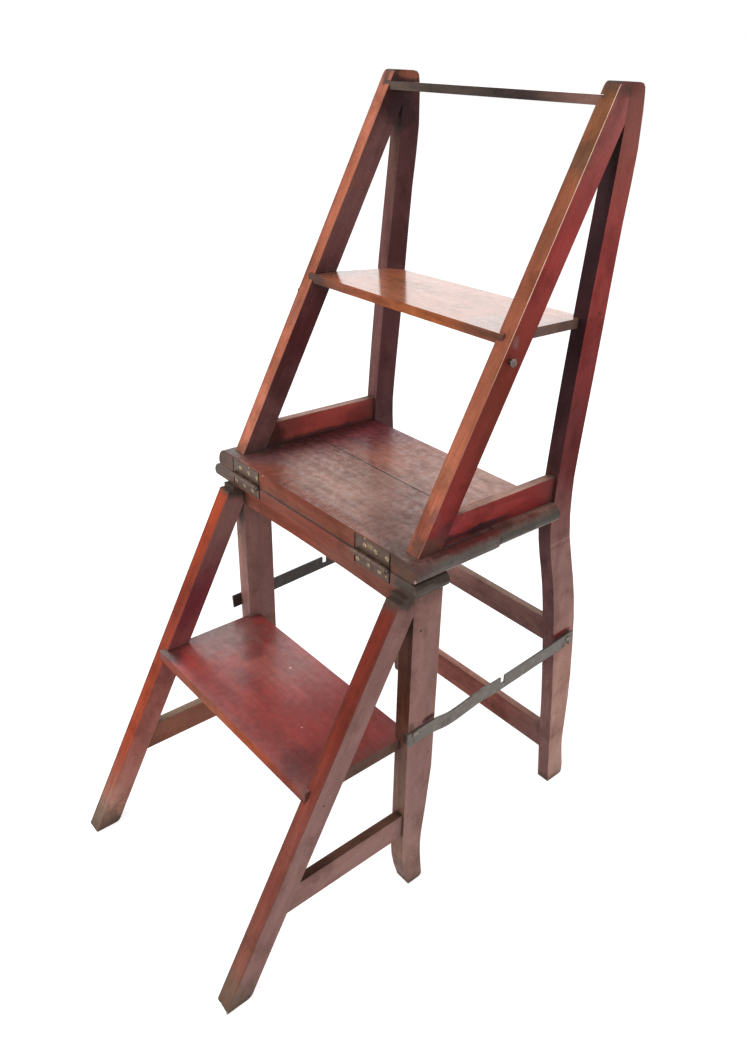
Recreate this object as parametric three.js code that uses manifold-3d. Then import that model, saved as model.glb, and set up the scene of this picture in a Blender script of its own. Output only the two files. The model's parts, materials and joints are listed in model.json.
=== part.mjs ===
// Library chair that turns over into a four-tread step ladder, standing as the ladder.
// Millimetres: X across the treads, Y from the first tread to the back, Z up.
// The origin is on the floor, under the middle of the ladder's outline seen from above.
import * as THREE from 'three';
import { mergeVertices } from 'three/addons/utils/BufferGeometryUtils.js';
import Module from 'manifold-3d';

const wasm = await Module();
wasm.setup();

// Clearance between pieces that lie on or in each other, and how far a cut runs past its piece
const restGap = 0.3;
const overrun = 5;

// The stand, which stays on the floor while the upper half turns over
const standHalfWidth = 172;
const standTimber = 21;
const cleatTop = 450;
const cleatThickness = 17;
const cleatDepth = 46;
const cleatOverhang = { left: 31, right: 11 };
const legSetback = 8;
const legDepth = 39.5;
const lowerStileReach = 237;
const lowerStileHeadReach = 9;
const lowerStileWidth = 26.7;

// Shaped foot of each front leg
const calfHeight = 182;
const ankleHeight = 62;
const ankleDepth = 29;
const heelDepth = 34;
const toeHeight = 60;
const toeSetback = 12.5;
const toeRound = 38;

// Rounding of the rear corner of every foot
const footRound = 5;

// The upper half: seat, back posts and upper stiles
const frameInset = 2;
const frameTimber = 18.5;
const seatThickness = 22;
const frontPlankOverhang = { left: 21, right: 14 };
const rearPlankOverhang = { left: 19, right: 11 };
const frontPlankDepth = 118;
const plankJoint = 0.6;
const postFootReach = 321;
const upperStileSetback = 12;
const upperStileHeadLead = 15.8;
const upperStileWidth = 28.5;
const postHeadRound = 9;
const stileHeadRound = 5;

// Left ends of the cleat and the seat: a long rounding above a small one
const noseRun = 15;
const noseLowRound = 4.5;

// Post outline from head to foot: height as a share of the post, reach as a share of its foot's reach
const postFrontShares = [
  [1, 0.797], [0.911, 0.779], [0.778, 0.741], [0.641, 0.707], [0.518, 0.686], [0.462, 0.697],
  [0.384, 0.754], [0.293, 0.801], [0.177, 0.848], [0.093, 0.873], [0, 0.907],
];
const postRearShares = [
  [1, 0.868], [0.93, 0.874], [0.844, 0.849], [0.714, 0.822], [0.588, 0.792], [0.533, 0.786],
  [0.467, 0.806], [0.383, 0.875], [0.31, 0.919], [0.194, 0.957], [0.114, 0.965], [0.073, 0.969],
  [0.042, 0.984], [0.02, 0.997], [0, 1],
];

// Treads, each housed in the timbers beside it
const lowerTreadTop = 234;
const lowerTreadThickness = 15;
const lowerTreadHousing = 7;
const lowerTreadNosing = 7.2;
const lowerTreadTail = 15;
const middleTreadTop = 679.5;
const middleTreadThickness = 10.5;
const middleTreadHousing = 8.5;
const middleTreadNosing = 3.4;
const middleTreadTail = 10;
const middleTreadSlant = 11.5;
const middleTreadTaper = 33;
const middleTreadTaperShares = [[0, 0], [0.53, 0.84], [1, 1]];
const topTreadDrop = 12.3;
const topTreadThickness = 9;
const topTreadHousing = { left: 11, right: 4 };
const topTreadNosing = 1.5;
const topTreadTail = 7;

// Rails and apron
const seatRailHeight = 30;
const seatRailThickness = 11;
const seatRailInset = 4;
const lowRailTop = 124;
const lowRailHeight = 34;
const lowRailThickness = 11;
const lowRailInset = 3;
const upperBackRailTop = 285;
const upperBackRailHeight = 32.5;
const lowerBackRailTop = 94;
const lowerBackRailHeight = 38.5;
const backRailThickness = 10;
const backRailSetback = 6;
const tenonLength = 12;
const tenonShoulder = 4;
const apronThickness = 14;
const apronHeight = 28;
const apronSetback = 2;
const apronArch = 3;

// Butt hinges let into the front edges of the seat and the cleat
const hingeInset = { left: 23, right: 38 };
const hingeLength = 55;
const leafThickness = 1.8;
const upperLeafEdge = 2.6;
const lowerLeafEdge = 2.2;
const knuckleRadius = 3.3;
const knuckleStandOff = 3;
const knuckleCount = 5;
const knuckleGap = 0.4;
const hingePinRadius = 1.6;
const pinHeadRadius = 2.5;
const pinHeadLength = 1.4;
const leafScrewEnd = 4;
const leafScrewStagger = 5.5;

// Countersunk wood screws
const screwHeadRadius = 3;
const screwHeadDepth = 1.7;
const screwShankRadius = 1.4;
const leafScrewLength = 13;
const boardScrewLength = 30;
const seatScrewLength = 34;

// Iron stays, with the round-headed screws that they turn and hook on
const stayWidth = 18.2;
const stayThickness = 2.4;
const stayRearOverhang = 9;
const stayNotchWidth = 7;
const hookSlotWidth = 6.2;
const stayPlans = {
  left: {
    setback: 4, height: 253.5, frontReach: 16, rise: 15, dip: 0, notchRise: 8.8,
    postDepth: 24.7, stileDepth: 8.4,
  },
  right: {
    setback: 8, height: 248, frontReach: 10, rise: 11, dip: 6, notchRise: 2.8,
    postDepth: 23.1, stileDepth: 11.1,
  },
};
const stayScrewRadius = 2.5;
const stayScrewHeadRadius = 4.3;
const stayScrewHeadHeight = 1.6;
const stayScrewDepth = 14;

// Smoothness of the curves
const curveSteps = 3;
const profileSteps = 30;
const roundSteps = 16;
const screwSteps = 12;

// Sizes worked out from the ones above
const standInner = standHalfWidth - standTimber;
const frameHalfWidth = standHalfWidth - frameInset;
const frameInner = frameHalfWidth - frameTimber;
const cleatReach = reachBeyond(standHalfWidth, cleatOverhang);
const frontPlankReach = reachBeyond(frameHalfWidth, frontPlankOverhang);
const rearPlankReach = reachBeyond(frameHalfWidth, rearPlankOverhang);
const cleatBottom = cleatTop - cleatThickness;
const seatBottom = cleatTop + restGap;
const seatTop = seatBottom + seatThickness;
const axisY = -knuckleStandOff;
const axisZ = (cleatTop + seatBottom) / 2;
const ladderHeight = 2 * axisZ;
const topTreadTop = ladderHeight - topTreadDrop;
const legRear = legSetback + legDepth;
const upperLeafHeight = seatTop - axisZ - upperLeafEdge;
const lowerLeafHeight = axisZ - cleatBottom - lowerLeafEdge;
const leafScrewPitch = hingeLength / 2 - leafScrewEnd - leafScrewStagger;
const hingeCentres = { left: hingeInset.left - standInner, right: standInner - hingeInset.right };
const backRails = [
  { name: 'upper_back_rail', top: upperBackRailTop, height: upperBackRailHeight },
  { name: 'lower_back_rail', top: lowerBackRailTop, height: lowerBackRailHeight },
];
const middleOfLadder = (postFootReach - lowerStileReach) / 2;
const middleOfCleat = (cleatReach.right - cleatReach.left) / 2;

const axisX = new THREE.Vector3(1, 0, 0);
const alongY = new THREE.Vector3(0, 1, 0);
const alongZ = new THREE.Vector3(0, 0, 1);
const sides = [
  { side: 'left', sign: -1 },
  { side: 'right', sign: 1 },
];

const finishes = {
  polishedWood: new THREE.MeshStandardMaterial({ color: 0x6e2a22, roughness: 0.42, metalness: 0 }),
  wornWood: new THREE.MeshStandardMaterial({ color: 0x6b4036, roughness: 0.5, metalness: 0 }),
  treadWood: new THREE.MeshStandardMaterial({ color: 0x7c3a33, roughness: 0.45, metalness: 0 }),
  brass: new THREE.MeshStandardMaterial({ color: 0x6f6242, roughness: 0.45, metalness: 0.9 }),
  iron: new THREE.MeshStandardMaterial({ color: 0x5c5750, roughness: 0.55, metalness: 0.85 }),
  screwSteel: new THREE.MeshStandardMaterial({ color: 0x8c8474, roughness: 0.4, metalness: 0.9 }),
};

// How far a board reaches to each side when it stands out beyond a half width.
function reachBeyond(halfWidth, overhang) {
  return { left: halfWidth + overhang.left, right: halfWidth + overhang.right };
}

// A geometry as a solid that can be cut and joined.
function solidOf(geometry) {
  geometry.deleteAttribute('normal');
  geometry.deleteAttribute('uv');
  const merged = mergeVertices(geometry);
  return new wasm.Manifold(new wasm.Mesh({
    numProp: 3,
    vertProperties: merged.attributes.position.array,
    triVerts: new Uint32Array(merged.index.array),
  }));
}

function meshOf(name, solid, finish) {
  const { vertProperties, triVerts } = solid.getMesh();
  const geometry = new THREE.BufferGeometry();
  geometry.setAttribute('position', new THREE.BufferAttribute(new Float32Array(vertProperties), 3));
  geometry.setIndex(new THREE.BufferAttribute(new Uint32Array(triVerts), 1));
  const faceted = geometry.toNonIndexed();
  faceted.computeVertexNormals();
  const mesh = new THREE.Mesh(faceted, finish);
  mesh.name = name;
  return mesh;
}

function shapeThrough(points) {
  return new THREE.Shape(points.map(([across, up]) => new THREE.Vector2(across, up)));
}

function extruded(shape, depth) {
  return new THREE.ExtrudeGeometry(shape, { depth, bevelEnabled: false, curveSegments: curveSteps });
}

// An outline drawn in Y and Z, run across from one X to another.
function sideSolid(shape, fromX, toX) {
  const turn = new THREE.Matrix4().makeBasis(alongY, alongZ, axisX).setPosition(fromX, 0, 0);
  return solidOf(extruded(shape, toX - fromX).applyMatrix4(turn));
}

// An outline drawn in X and Z, run back from one Y to another.
function frontSolid(shape, fromY, toY) {
  const forwards = alongY.clone().negate();
  const turn = new THREE.Matrix4().makeBasis(axisX, alongZ, forwards).setPosition(0, toY, 0);
  return solidOf(extruded(shape, toY - fromY).applyMatrix4(turn));
}

// An outline drawn in X and Y, run up from one Z to another.
function planSolid(shape, fromZ, toZ) {
  return solidOf(extruded(shape, toZ - fromZ).translate(0, 0, fromZ));
}

function blockSolid(low, high) {
  const size = high.map((value, i) => value - low[i]);
  const centre = high.map((value, i) => (value + low[i]) / 2);
  return solidOf(new THREE.BoxGeometry(...size).translate(...centre));
}

// A turned piece, with its profile as [radius, distance along the axis], pointing along a direction.
function turnedSolid(profile, origin, direction, steps) {
  const points = profile.map(([radius, along]) => new THREE.Vector2(radius, along));
  const turn = new THREE.Quaternion().setFromUnitVectors(alongY, direction);
  const geometry = new THREE.LatheGeometry(points, steps).applyQuaternion(turn);
  return solidOf(geometry.translate(...origin));
}

function rodSolid(radius, from, length, direction, steps) {
  return turnedSolid([[0, 0], [radius, 0], [radius, length], [0, length]], from, direction, steps);
}

// A straight line in the side view, given by the Y of its foot and head.
function slopeLine(footY, footZ, headY, headZ) {
  const lean = (headY - footY) / (headZ - footZ);
  return { lean, stretch: Math.hypot(1, lean), at: (z) => footY + lean * (z - footZ) };
}

// One edge of a post as points from its head down to the floor.
function postEdge(shares) {
  const through = shares.map(([height, reach]) => (
    new THREE.Vector2(reach * postFootReach, height * ladderHeight)
  ));
  return new THREE.SplineCurve(through).getPoints(profileSteps);
}

const postFront = postEdge(postFrontShares);
const postRear = postEdge(postRearShares);

const lowerStileFront = slopeLine(-lowerStileReach, 0, -lowerStileHeadReach, cleatBottom);
const upperStileHead = postFront[0].x - upperStileHeadLead;
const upperStileFront = slopeLine(upperStileSetback, seatTop, upperStileHead, ladderHeight);
const lowerStileRear = lowerStileWidth * lowerStileFront.stretch;
const upperStileRear = upperStileWidth * upperStileFront.stretch;

// Where an edge of the post stands at a height.
function reachOf(edge, height) {
  const next = edge.findIndex((point) => point.y <= height);
  const below = edge[Math.max(next, 1)];
  const above = edge[Math.max(next, 1) - 1];
  const share = (height - below.y) / (above.y - below.y);
  return below.x + share * (above.x - below.x);
}

// A post outline, moved forwards by a clearance and run on behind when it serves as a cutter.
function postShape(clearance) {
  const shape = new THREE.Shape();
  const headRear = postRear[0].x;
  const front = postFront.map((point) => new THREE.Vector2(point.x - clearance, point.y));
  shape.setFromPoints(front);
  if (clearance > 0) {
    shape.lineTo(postFootReach + overrun, 0);
    shape.lineTo(postFootReach + overrun, ladderHeight + overrun);
    shape.lineTo(front[0].x, ladderHeight + overrun);
    return shape;
  }
  shape.lineTo(postFootReach - footRound, 0);
  shape.quadraticCurveTo(postFootReach, 0, reachOf(postRear, footRound), footRound);
  const rising = postRear.slice().reverse();
  rising.filter((point) => point.y > footRound && point.y < ladderHeight - postHeadRound)
    .forEach((point) => shape.lineTo(point.x, point.y));
  shape.lineTo(headRear, ladderHeight - postHeadRound);
  shape.quadraticCurveTo(headRear, ladderHeight, headRear - postHeadRound, ladderHeight);
  return shape;
}

// A front leg of the stand, straight in front and shaped behind above its foot.
function legShape() {
  const head = cleatBottom - restGap;
  const shape = new THREE.Shape();
  shape.moveTo(legSetback, head);
  shape.lineTo(legSetback, toeHeight);
  shape.quadraticCurveTo(legSetback, toeRound, legSetback + toeSetback, 0);
  shape.lineTo(legSetback + heelDepth - footRound, 0);
  shape.quadraticCurveTo(legSetback + heelDepth, 0, legSetback + heelDepth, footRound);
  shape.splineThru([
    new THREE.Vector2(legSetback + ankleDepth, ankleHeight),
    new THREE.Vector2((legSetback + ankleDepth + legRear) / 2, (ankleHeight + calfHeight) / 2),
    new THREE.Vector2(legRear, calfHeight),
  ]);
  shape.lineTo(legRear, head);
  return shape;
}

// A sloped stile from the floor to a height, with its front line and its depth along Y.
function stileShape(line, depth, headZ) {
  const shape = new THREE.Shape();
  shape.moveTo(line.at(0), 0);
  shape.lineTo(line.at(0) + depth - footRound, 0);
  shape.quadraticCurveTo(line.at(0) + depth, 0, line.at(footRound) + depth, footRound);
  shape.lineTo(line.at(headZ) + depth, headZ);
  shape.lineTo(line.at(headZ), headZ);
  return shape;
}

// The same stile with its front head corner rounded.
function upperStileShape() {
  const foot = seatTop + restGap;
  const line = upperStileFront;
  const roundFoot = ladderHeight - stileHeadRound;
  const shape = new THREE.Shape();
  shape.moveTo(line.at(foot), foot);
  shape.lineTo(line.at(foot) + upperStileRear, foot);
  shape.lineTo(line.at(ladderHeight) + upperStileRear, ladderHeight);
  shape.lineTo(line.at(ladderHeight) + stileHeadRound, ladderHeight);
  shape.quadraticCurveTo(line.at(ladderHeight), ladderHeight, line.at(roundFoot), roundFoot);
  return shape;
}

// A board whose right end is half round and whose left end is a long nose.
function roundEndedShape(reach, bottom, top) {
  const radius = (top - bottom) / 2;
  const middle = (top + bottom) / 2;
  const noseX = noseRun - reach.left;
  const noseZ = bottom + noseLowRound;
  const shape = new THREE.Shape();
  shape.moveTo(noseLowRound - reach.left, bottom);
  shape.lineTo(reach.right - radius, bottom);
  shape.absarc(reach.right - radius, middle, radius, -Math.PI / 2, Math.PI / 2, false);
  shape.lineTo(noseX, top);
  shape.absellipse(noseX, noseZ, noseRun, top - noseZ, Math.PI / 2, Math.PI, false, 0);
  shape.absarc(noseLowRound - reach.left, noseZ, noseLowRound, Math.PI, Math.PI * 1.5, false);
  return shape;
}

// The three treads, each given with how far it is grown, so that it also cuts its own housing.
function lowerTread(grow) {
  const wide = standInner + lowerTreadHousing + grow;
  const narrow = standInner - restGap + grow;
  const shoulder = legSetback - restGap + grow;
  const front = lowerStileFront.at(lowerTreadTop) - lowerTreadNosing - grow;
  const tail = legSetback + lowerTreadTail + grow;
  const outline = [
    [-wide, front], [wide, front], [wide, shoulder], [narrow, shoulder],
    [narrow, tail], [-narrow, tail], [-narrow, shoulder], [-wide, shoulder],
  ];
  const bottom = lowerTreadTop - lowerTreadThickness;
  return planSolid(shapeThrough(outline), bottom - grow, lowerTreadTop + grow);
}

function middleTread(grow) {
  const bottom = middleTreadTop - middleTreadThickness;
  const post = Math.min(reachOf(postFront, bottom), reachOf(postFront, middleTreadTop));
  const stileRear = upperStileFront.at(bottom) + upperStileRear;
  const wide = frameInner + middleTreadHousing + grow;
  const narrow = frameInner - restGap + grow;
  const shoulder = post - restGap;
  const front = upperStileFront.at(middleTreadTop) - middleTreadNosing - grow;
  const rear = { right: post + middleTreadTail, left: post + middleTreadTail - middleTreadSlant };
  const taper = middleTreadTaperShares.map(([across, back]) => [
    across * middleTreadTaper - narrow,
    stileRear + back * (rear.left - stileRear),
  ]);
  const outline = [
    [-wide, front], [wide, front], [wide, shoulder], [narrow, shoulder], [narrow, rear.right],
    ...taper.reverse(), [-wide, stileRear],
  ];
  return planSolid(shapeThrough(outline), bottom - grow, middleTreadTop + grow);
}

function topTread(grow) {
  const reach = reachBeyond(frameInner, topTreadHousing);
  const front = upperStileFront.at(topTreadTop) - topTreadNosing;
  const rear = reachOf(postRear, topTreadTop) - topTreadTail;
  const low = [-reach.left - grow, front - grow, topTreadTop - topTreadThickness - grow];
  const high = [reach.right + grow, rear + grow, topTreadTop + grow];
  return blockSolid(low, high);
}

// A rail between two posts, with a tenon at each end.
function backRail({ top, height }, grow) {
  const bottom = top - height;
  const front = reachOf(postFront, (bottom + top) / 2) + backRailSetback;
  const half = frameInner - restGap;
  const body = blockSolid([-half, front, bottom], [half, front + backRailThickness, top]);
  const reach = frameInner + tenonLength + grow;
  const tenons = blockSolid(
    [-reach, front - grow, bottom + tenonShoulder - grow],
    [reach, front + backRailThickness + grow, top - tenonShoulder + grow],
  );
  return grow > 0 ? tenons : body.add(tenons);
}

// The apron under the cleat, arched along its lower edge, with a tenon into each leg.
function apron(grow) {
  const top = cleatBottom - restGap;
  const bottom = cleatBottom - apronHeight;
  const half = standInner - restGap;
  const front = legSetback + apronSetback;
  const shape = new THREE.Shape();
  shape.moveTo(half, bottom);
  shape.lineTo(half, top);
  shape.lineTo(-half, top);
  shape.lineTo(-half, bottom);
  shape.quadraticCurveTo(0, bottom + 2 * apronArch, half, bottom);
  const reach = standInner + tenonLength + grow;
  const tenons = blockSolid(
    [-reach, front - grow, bottom + tenonShoulder * 2 - grow],
    [reach, front + apronThickness + grow, top - tenonShoulder + grow],
  );
  return grow > 0 ? tenons : frontSolid(shape, front, front + apronThickness).add(tenons);
}

// A short rail between a sloped stile and the upright behind it.
function sideRail(line, stileDepth, bottom, top, rearAt, fromX, toX) {
  const step = restGap * line.stretch;
  const frontAt = (z) => line.at(z) + stileDepth + step;
  return sideSolid(shapeThrough([
    [frontAt(bottom), bottom],
    [rearAt(bottom) - restGap, bottom],
    [rearAt(top) - restGap, top],
    [frontAt(top), top],
  ]), fromX, toX);
}

// A slotless countersunk screw, pointing along a direction, and the hole that it needs.
function woodScrew(origin, direction, length, grow) {
  const head = screwHeadRadius + grow;
  const shank = screwShankRadius + grow;
  const crown = grow > 0 ? -overrun : 0;
  const profile = [[0, crown], [head, crown], [head, 0], [shank, screwHeadDepth + grow]];
  if (grow === 0) profile.splice(2, 1);
  profile.push([shank, length + grow], [0, length + grow + shank]);
  return turnedSolid(profile, origin, direction, screwSteps);
}

// A round-headed screw that stands out of a side frame and carries a stay.
function staySeatScrew(sign, seatX, y, z, grow) {
  const direction = new THREE.Vector3(sign, 0, 0);
  const headFoot = standHalfWidth + restGap + stayThickness + restGap - seatX;
  const shank = stayScrewRadius + grow;
  const start = [sign * (seatX - stayScrewDepth), y, z];
  const toHead = stayScrewDepth + headFoot;
  if (grow > 0) return rodSolid(shank, start, toHead, direction, roundSteps);
  return turnedSolid([
    [0, 0],
    [shank, stayScrewRadius],
    [shank, toHead],
    [stayScrewHeadRadius, toHead],
    [stayScrewHeadRadius * 0.8, toHead + stayScrewHeadHeight * 0.7],
    [0, toHead + stayScrewHeadHeight],
  ], start, direction, roundSteps);
}

// Where a stay turns, where it hooks on its post, and where it hooks on the turned-over stile.
function stayPlaces({ setback, height, rise, notchRise, postDepth, stileDepth }) {
  const pivot = { y: legSetback + setback, z: height };
  const postZ = pivot.z + rise;
  const post = { y: reachOf(postFront, postZ) + postDepth, z: postZ };
  const stileZ = 2 * axisZ - pivot.z + notchRise;
  const stile = { y: upperStileFront.at(stileZ) + stileDepth, z: stileZ };
  const turned = { y: 2 * axisY - stile.y, z: 2 * axisZ - stile.z };
  const notch = { y: 2 * pivot.y - turned.y, z: 2 * pivot.z - turned.z };
  return { pivot, post, notch, stile };
}

// A stay: a flat bar, straight or with a slight wave, with a notch on top and a hook at its rear end.
function stay(sign, plan) {
  const { pivot, post, notch } = stayPlaces(plan);
  const inner = standHalfWidth + restGap;
  const fromX = sign > 0 ? inner : -inner - stayThickness;
  const half = stayWidth / 2;
  const span = post.y - pivot.y;
  const notchReach = notch.y - pivot.y;
  const lean = plan.rise / span;
  const along = (reach, drop) => (
    new THREE.Vector2(pivot.y + reach, pivot.z + lean * reach - drop * plan.dip)
  );
  const line = new THREE.SplineCurve([
    along(-plan.frontReach, 0.8),
    along(notchReach * 0.2, 0.85),
    along(notchReach * 0.4, 1.5),
    along(notchReach * 0.75, 0.75),
    along(notchReach, 0.9),
    along(span + stayRearOverhang, 0.1),
  ]);
  const edge = (offset) => Array.from({ length: profileSteps + 1 }, (_, i) => {
    const point = line.getPoint(i / profileSteps);
    const run = line.getTangent(i / profileSteps);
    return [point.x - run.y * offset, point.y + run.x * offset];
  });
  const outline = shapeThrough([...edge(-half), ...edge(half).reverse()]);
  const bar = sideSolid(outline, fromX, fromX + stayThickness);
  const low = fromX - overrun;
  const high = fromX + stayThickness + overrun;
  const seat = stayScrewRadius + restGap;
  const notchCut = blockSolid(
    [low, notch.y - stayNotchWidth / 2, notch.z - seat],
    [high, notch.y + stayNotchWidth / 2, notch.z + stayWidth],
  );
  const slotCut = blockSolid(
    [low, post.y - hookSlotWidth / 2, post.z - stayWidth],
    [high, post.y + hookSlotWidth / 2, post.z + seat],
  );
  const hole = rodSolid(seat, [low, pivot.y, pivot.z], high - low, axisX, roundSteps);
  return bar.subtract(notchCut).subtract(slotCut).subtract(hole);
}

// Knuckle stretches of a hinge along X: the lower leaf has the odd ones.
function knuckleSpans(centre) {
  const pitch = hingeLength / knuckleCount;
  return Array.from({ length: knuckleCount }, (_, i) => {
    const from = centre - hingeLength / 2 + i * pitch;
    return { from: from + knuckleGap / 2, to: from + pitch - knuckleGap / 2, upper: i % 2 === 1 };
  });
}

function barrelSolid(radius, from, to) {
  return rodSolid(radius, [from, axisY, axisZ], to - from, axisX, roundSteps);
}

// One leaf of a hinge: a plate let into the board's edge, its knuckles, the pin's bore and its screw holes.
function hingeLeaf(centre, upper) {
  const half = hingeLength / 2;
  const plate = upper
    ? [[centre - half, 0, axisZ + restGap], [centre + half, leafThickness, axisZ + upperLeafHeight]]
    : [[centre - half, 0, axisZ - lowerLeafHeight], [centre + half, leafThickness, axisZ - restGap]];
  let leaf = blockSolid(...plate);
  for (const span of knuckleSpans(centre)) {
    if (span.upper === upper) {
      const neck = upper
        ? [[span.from, axisY, axisZ + restGap], [span.to, leafThickness, axisZ + knuckleRadius]]
        : [[span.from, axisY, axisZ - knuckleRadius], [span.to, leafThickness, axisZ - restGap]];
      leaf = leaf.add(barrelSolid(knuckleRadius, span.from, span.to)).add(blockSolid(...neck));
    } else {
      const clear = barrelSolid(knuckleRadius + restGap, span.from - knuckleGap, span.to + knuckleGap);
      leaf = leaf.subtract(clear);
    }
  }
  const bore = barrelSolid(hingePinRadius + restGap, centre - half - overrun, centre + half + overrun);
  leaf = leaf.subtract(bore);
  for (const screw of leafScrews(centre, upper)) {
    leaf = leaf.subtract(woodScrew(screw, alongY, leafScrewLength, restGap));
  }
  return leaf;
}

// Heads of a leaf's screws on the face of its plate: the two leaves have theirs staggered.
function leafScrews(centre, upper) {
  const height = upper ? upperLeafHeight : lowerLeafHeight;
  const offset = (height + knuckleRadius) / 2;
  const z = upper ? axisZ + offset : axisZ - offset;
  const middle = centre + (upper ? leafScrewStagger : -leafScrewStagger);
  return [-1, 0, 1].map((step) => [middle + step * leafScrewPitch, 0, z]);
}

function hingePin(centre) {
  const reach = hingeLength / 2 + restGap;
  const total = 2 * (reach + pinHeadLength);
  return turnedSolid([
    [0, 0],
    [pinHeadRadius * 0.7, 0],
    [pinHeadRadius, pinHeadLength * 0.5],
    [pinHeadRadius, pinHeadLength],
    [hingePinRadius, pinHeadLength],
    [hingePinRadius, total - pinHeadLength],
    [pinHeadRadius, total - pinHeadLength],
    [pinHeadRadius, total - pinHeadLength * 0.5],
    [pinHeadRadius * 0.7, total],
    [0, total],
  ], [centre - reach - pinHeadLength, axisY, axisZ], axisX, roundSteps);
}

// The pocket that a leaf, its knuckles and its pin need in a board's front edge.
function leafPocket(centre, upper) {
  const half = hingeLength / 2 + pinHeadLength + 2 * restGap;
  const height = (upper ? upperLeafHeight : lowerLeafHeight) + restGap;
  const low = upper ? axisZ - overrun : axisZ - height;
  const high = upper ? axisZ + height : axisZ + overrun;
  return blockSolid([centre - half, -overrun, low], [centre + half, leafThickness + restGap, high]);
}

// Screws that hold the cleat down on each leg, and the seat planks up under each rail
function cleatScrewPlace(sign) {
  return [sign * (standInner + standTimber / 2), (legSetback + cleatDepth) / 2, cleatTop];
}

function seatScrews(sign) {
  const x = sign * (frameHalfWidth - seatRailInset - seatRailThickness / 2);
  const rear = reachOf(postFront, seatBottom);
  return [
    { name: 'front', place: [x, frontPlankDepth * 0.75, seatBottom] },
    { name: 'rear', place: [x, (frontPlankDepth + rear) / 2, seatBottom] },
  ];
}

const root = new THREE.Group();
root.name = 'library_chair_ladder';
root.position.set(-middleOfCleat, -middleOfLadder, 0);
const stand = new THREE.Group();
const upperHalf = new THREE.Group();
root.add(stand, upperHalf);

const centres = Object.entries(hingeCentres);
const down = alongZ.clone().negate();

function cutAll(solid, cutters) {
  return cutters.reduce((left, cutter) => left.subtract(cutter), solid);
}

// The stand: cleat and apron
const lowerPockets = centres.map(([, centre]) => leafPocket(centre, false));
const lowerPilots = centres.flatMap(([, centre]) => (
  leafScrews(centre, false).map((place) => woodScrew(place, alongY, leafScrewLength, restGap))
));
const cleatPilots = sides.map(({ sign }) => (
  woodScrew(cleatScrewPlace(sign), down, boardScrewLength, restGap)
));
const cleatBoard = frontSolid(roundEndedShape(cleatReach, cleatBottom, cleatTop), 0, cleatDepth);
const cleat = cutAll(cleatBoard, [...lowerPockets, ...lowerPilots, ...cleatPilots]);
stand.add(meshOf('cleat', cleat, finishes.wornWood));
stand.add(meshOf('apron', apron(0), finishes.polishedWood));
stand.add(meshOf('lower_tread', lowerTread(0), finishes.treadWood));

// The stand: a leg, a stile, a low rail and a pivot screw on each side
for (const { side, sign } of sides) {
  const timber = sign > 0 ? [standInner, standHalfWidth] : [-standHalfWidth, -standInner];
  const { pivot } = stayPlaces(stayPlans[side]);
  const pivotHole = staySeatScrew(sign, standHalfWidth, pivot.y, pivot.z, restGap);
  const legCuts = [apron(restGap), pivotHole, ...cleatPilots];
  const leg = cutAll(sideSolid(legShape(), ...timber), legCuts);
  stand.add(meshOf(`front_leg_${side}`, leg, finishes.polishedWood));

  const head = cleatBottom - restGap;
  const stileTimber = sideSolid(stileShape(lowerStileFront, lowerStileRear, head), ...timber);
  const behindLeg = blockSolid(
    [-standHalfWidth - overrun, legSetback - restGap, 0],
    [standHalfWidth + overrun, legRear + overrun, cleatTop],
  );
  const turnedSeat = blockSolid(
    [-standHalfWidth - overrun, -lowerStileReach, 2 * axisZ - seatTop - restGap],
    [standHalfWidth + overrun, 2 * axisY + restGap, cleatTop],
  );
  const stileCuts = [behindLeg, turnedSeat, lowerTread(restGap)];
  stand.add(meshOf(`lower_stile_${side}`, cutAll(stileTimber, stileCuts), finishes.polishedWood));

  const outer = standHalfWidth - lowRailInset;
  const span = sign > 0 ? [outer - lowRailThickness, outer] : [-outer, lowRailThickness - outer];
  const lowRailFoot = lowRailTop - lowRailHeight;
  const rail = sideRail(lowerStileFront, lowerStileRear, lowRailFoot, lowRailTop, () => legSetback, ...span);
  stand.add(meshOf(`low_rail_${side}`, rail, finishes.polishedWood));

  const pivotScrew = staySeatScrew(sign, standHalfWidth, pivot.y, pivot.z, 0);
  stand.add(meshOf(`stay_pivot_screw_${side}`, pivotScrew, finishes.screwSteel));
  const cleatScrew = woodScrew(cleatScrewPlace(sign), down, boardScrewLength, 0);
  stand.add(meshOf(`cleat_screw_${side}`, cleatScrew, finishes.screwSteel));
}

// The upper half: two seat planks with half-round ends
const frontPlankShape = roundEndedShape(frontPlankReach, seatBottom, seatTop);
const rearPlankShape = roundEndedShape(rearPlankReach, seatBottom, seatTop);
const upperPockets = centres.map(([, centre]) => leafPocket(centre, true));
const upperPilots = centres.flatMap(([, centre]) => (
  leafScrews(centre, true).map((place) => woodScrew(place, alongY, leafScrewLength, restGap))
));
const seatPilots = sides.flatMap(({ sign }) => (
  seatScrews(sign).map(({ place }) => woodScrew(place, alongZ, seatScrewLength, restGap))
));
const seatRear = Math.min(reachOf(postFront, seatBottom), reachOf(postFront, seatTop)) - restGap;
const frontPlank = frontSolid(frontPlankShape, 0, frontPlankDepth);
const rearPlank = frontSolid(rearPlankShape, frontPlankDepth + plankJoint, seatRear);
upperHalf.add(meshOf(
  'seat_front_plank',
  cutAll(frontPlank, [...upperPockets, ...upperPilots, ...seatPilots]),
  finishes.wornWood,
));
upperHalf.add(meshOf('seat_rear_plank', cutAll(rearPlank, seatPilots), finishes.wornWood));
upperHalf.add(meshOf('middle_tread', middleTread(0), finishes.treadWood));
upperHalf.add(meshOf('top_tread', topTread(0), finishes.wornWood));
for (const rail of backRails) {
  upperHalf.add(meshOf(rail.name, backRail(rail, 0), finishes.polishedWood));
}

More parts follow.
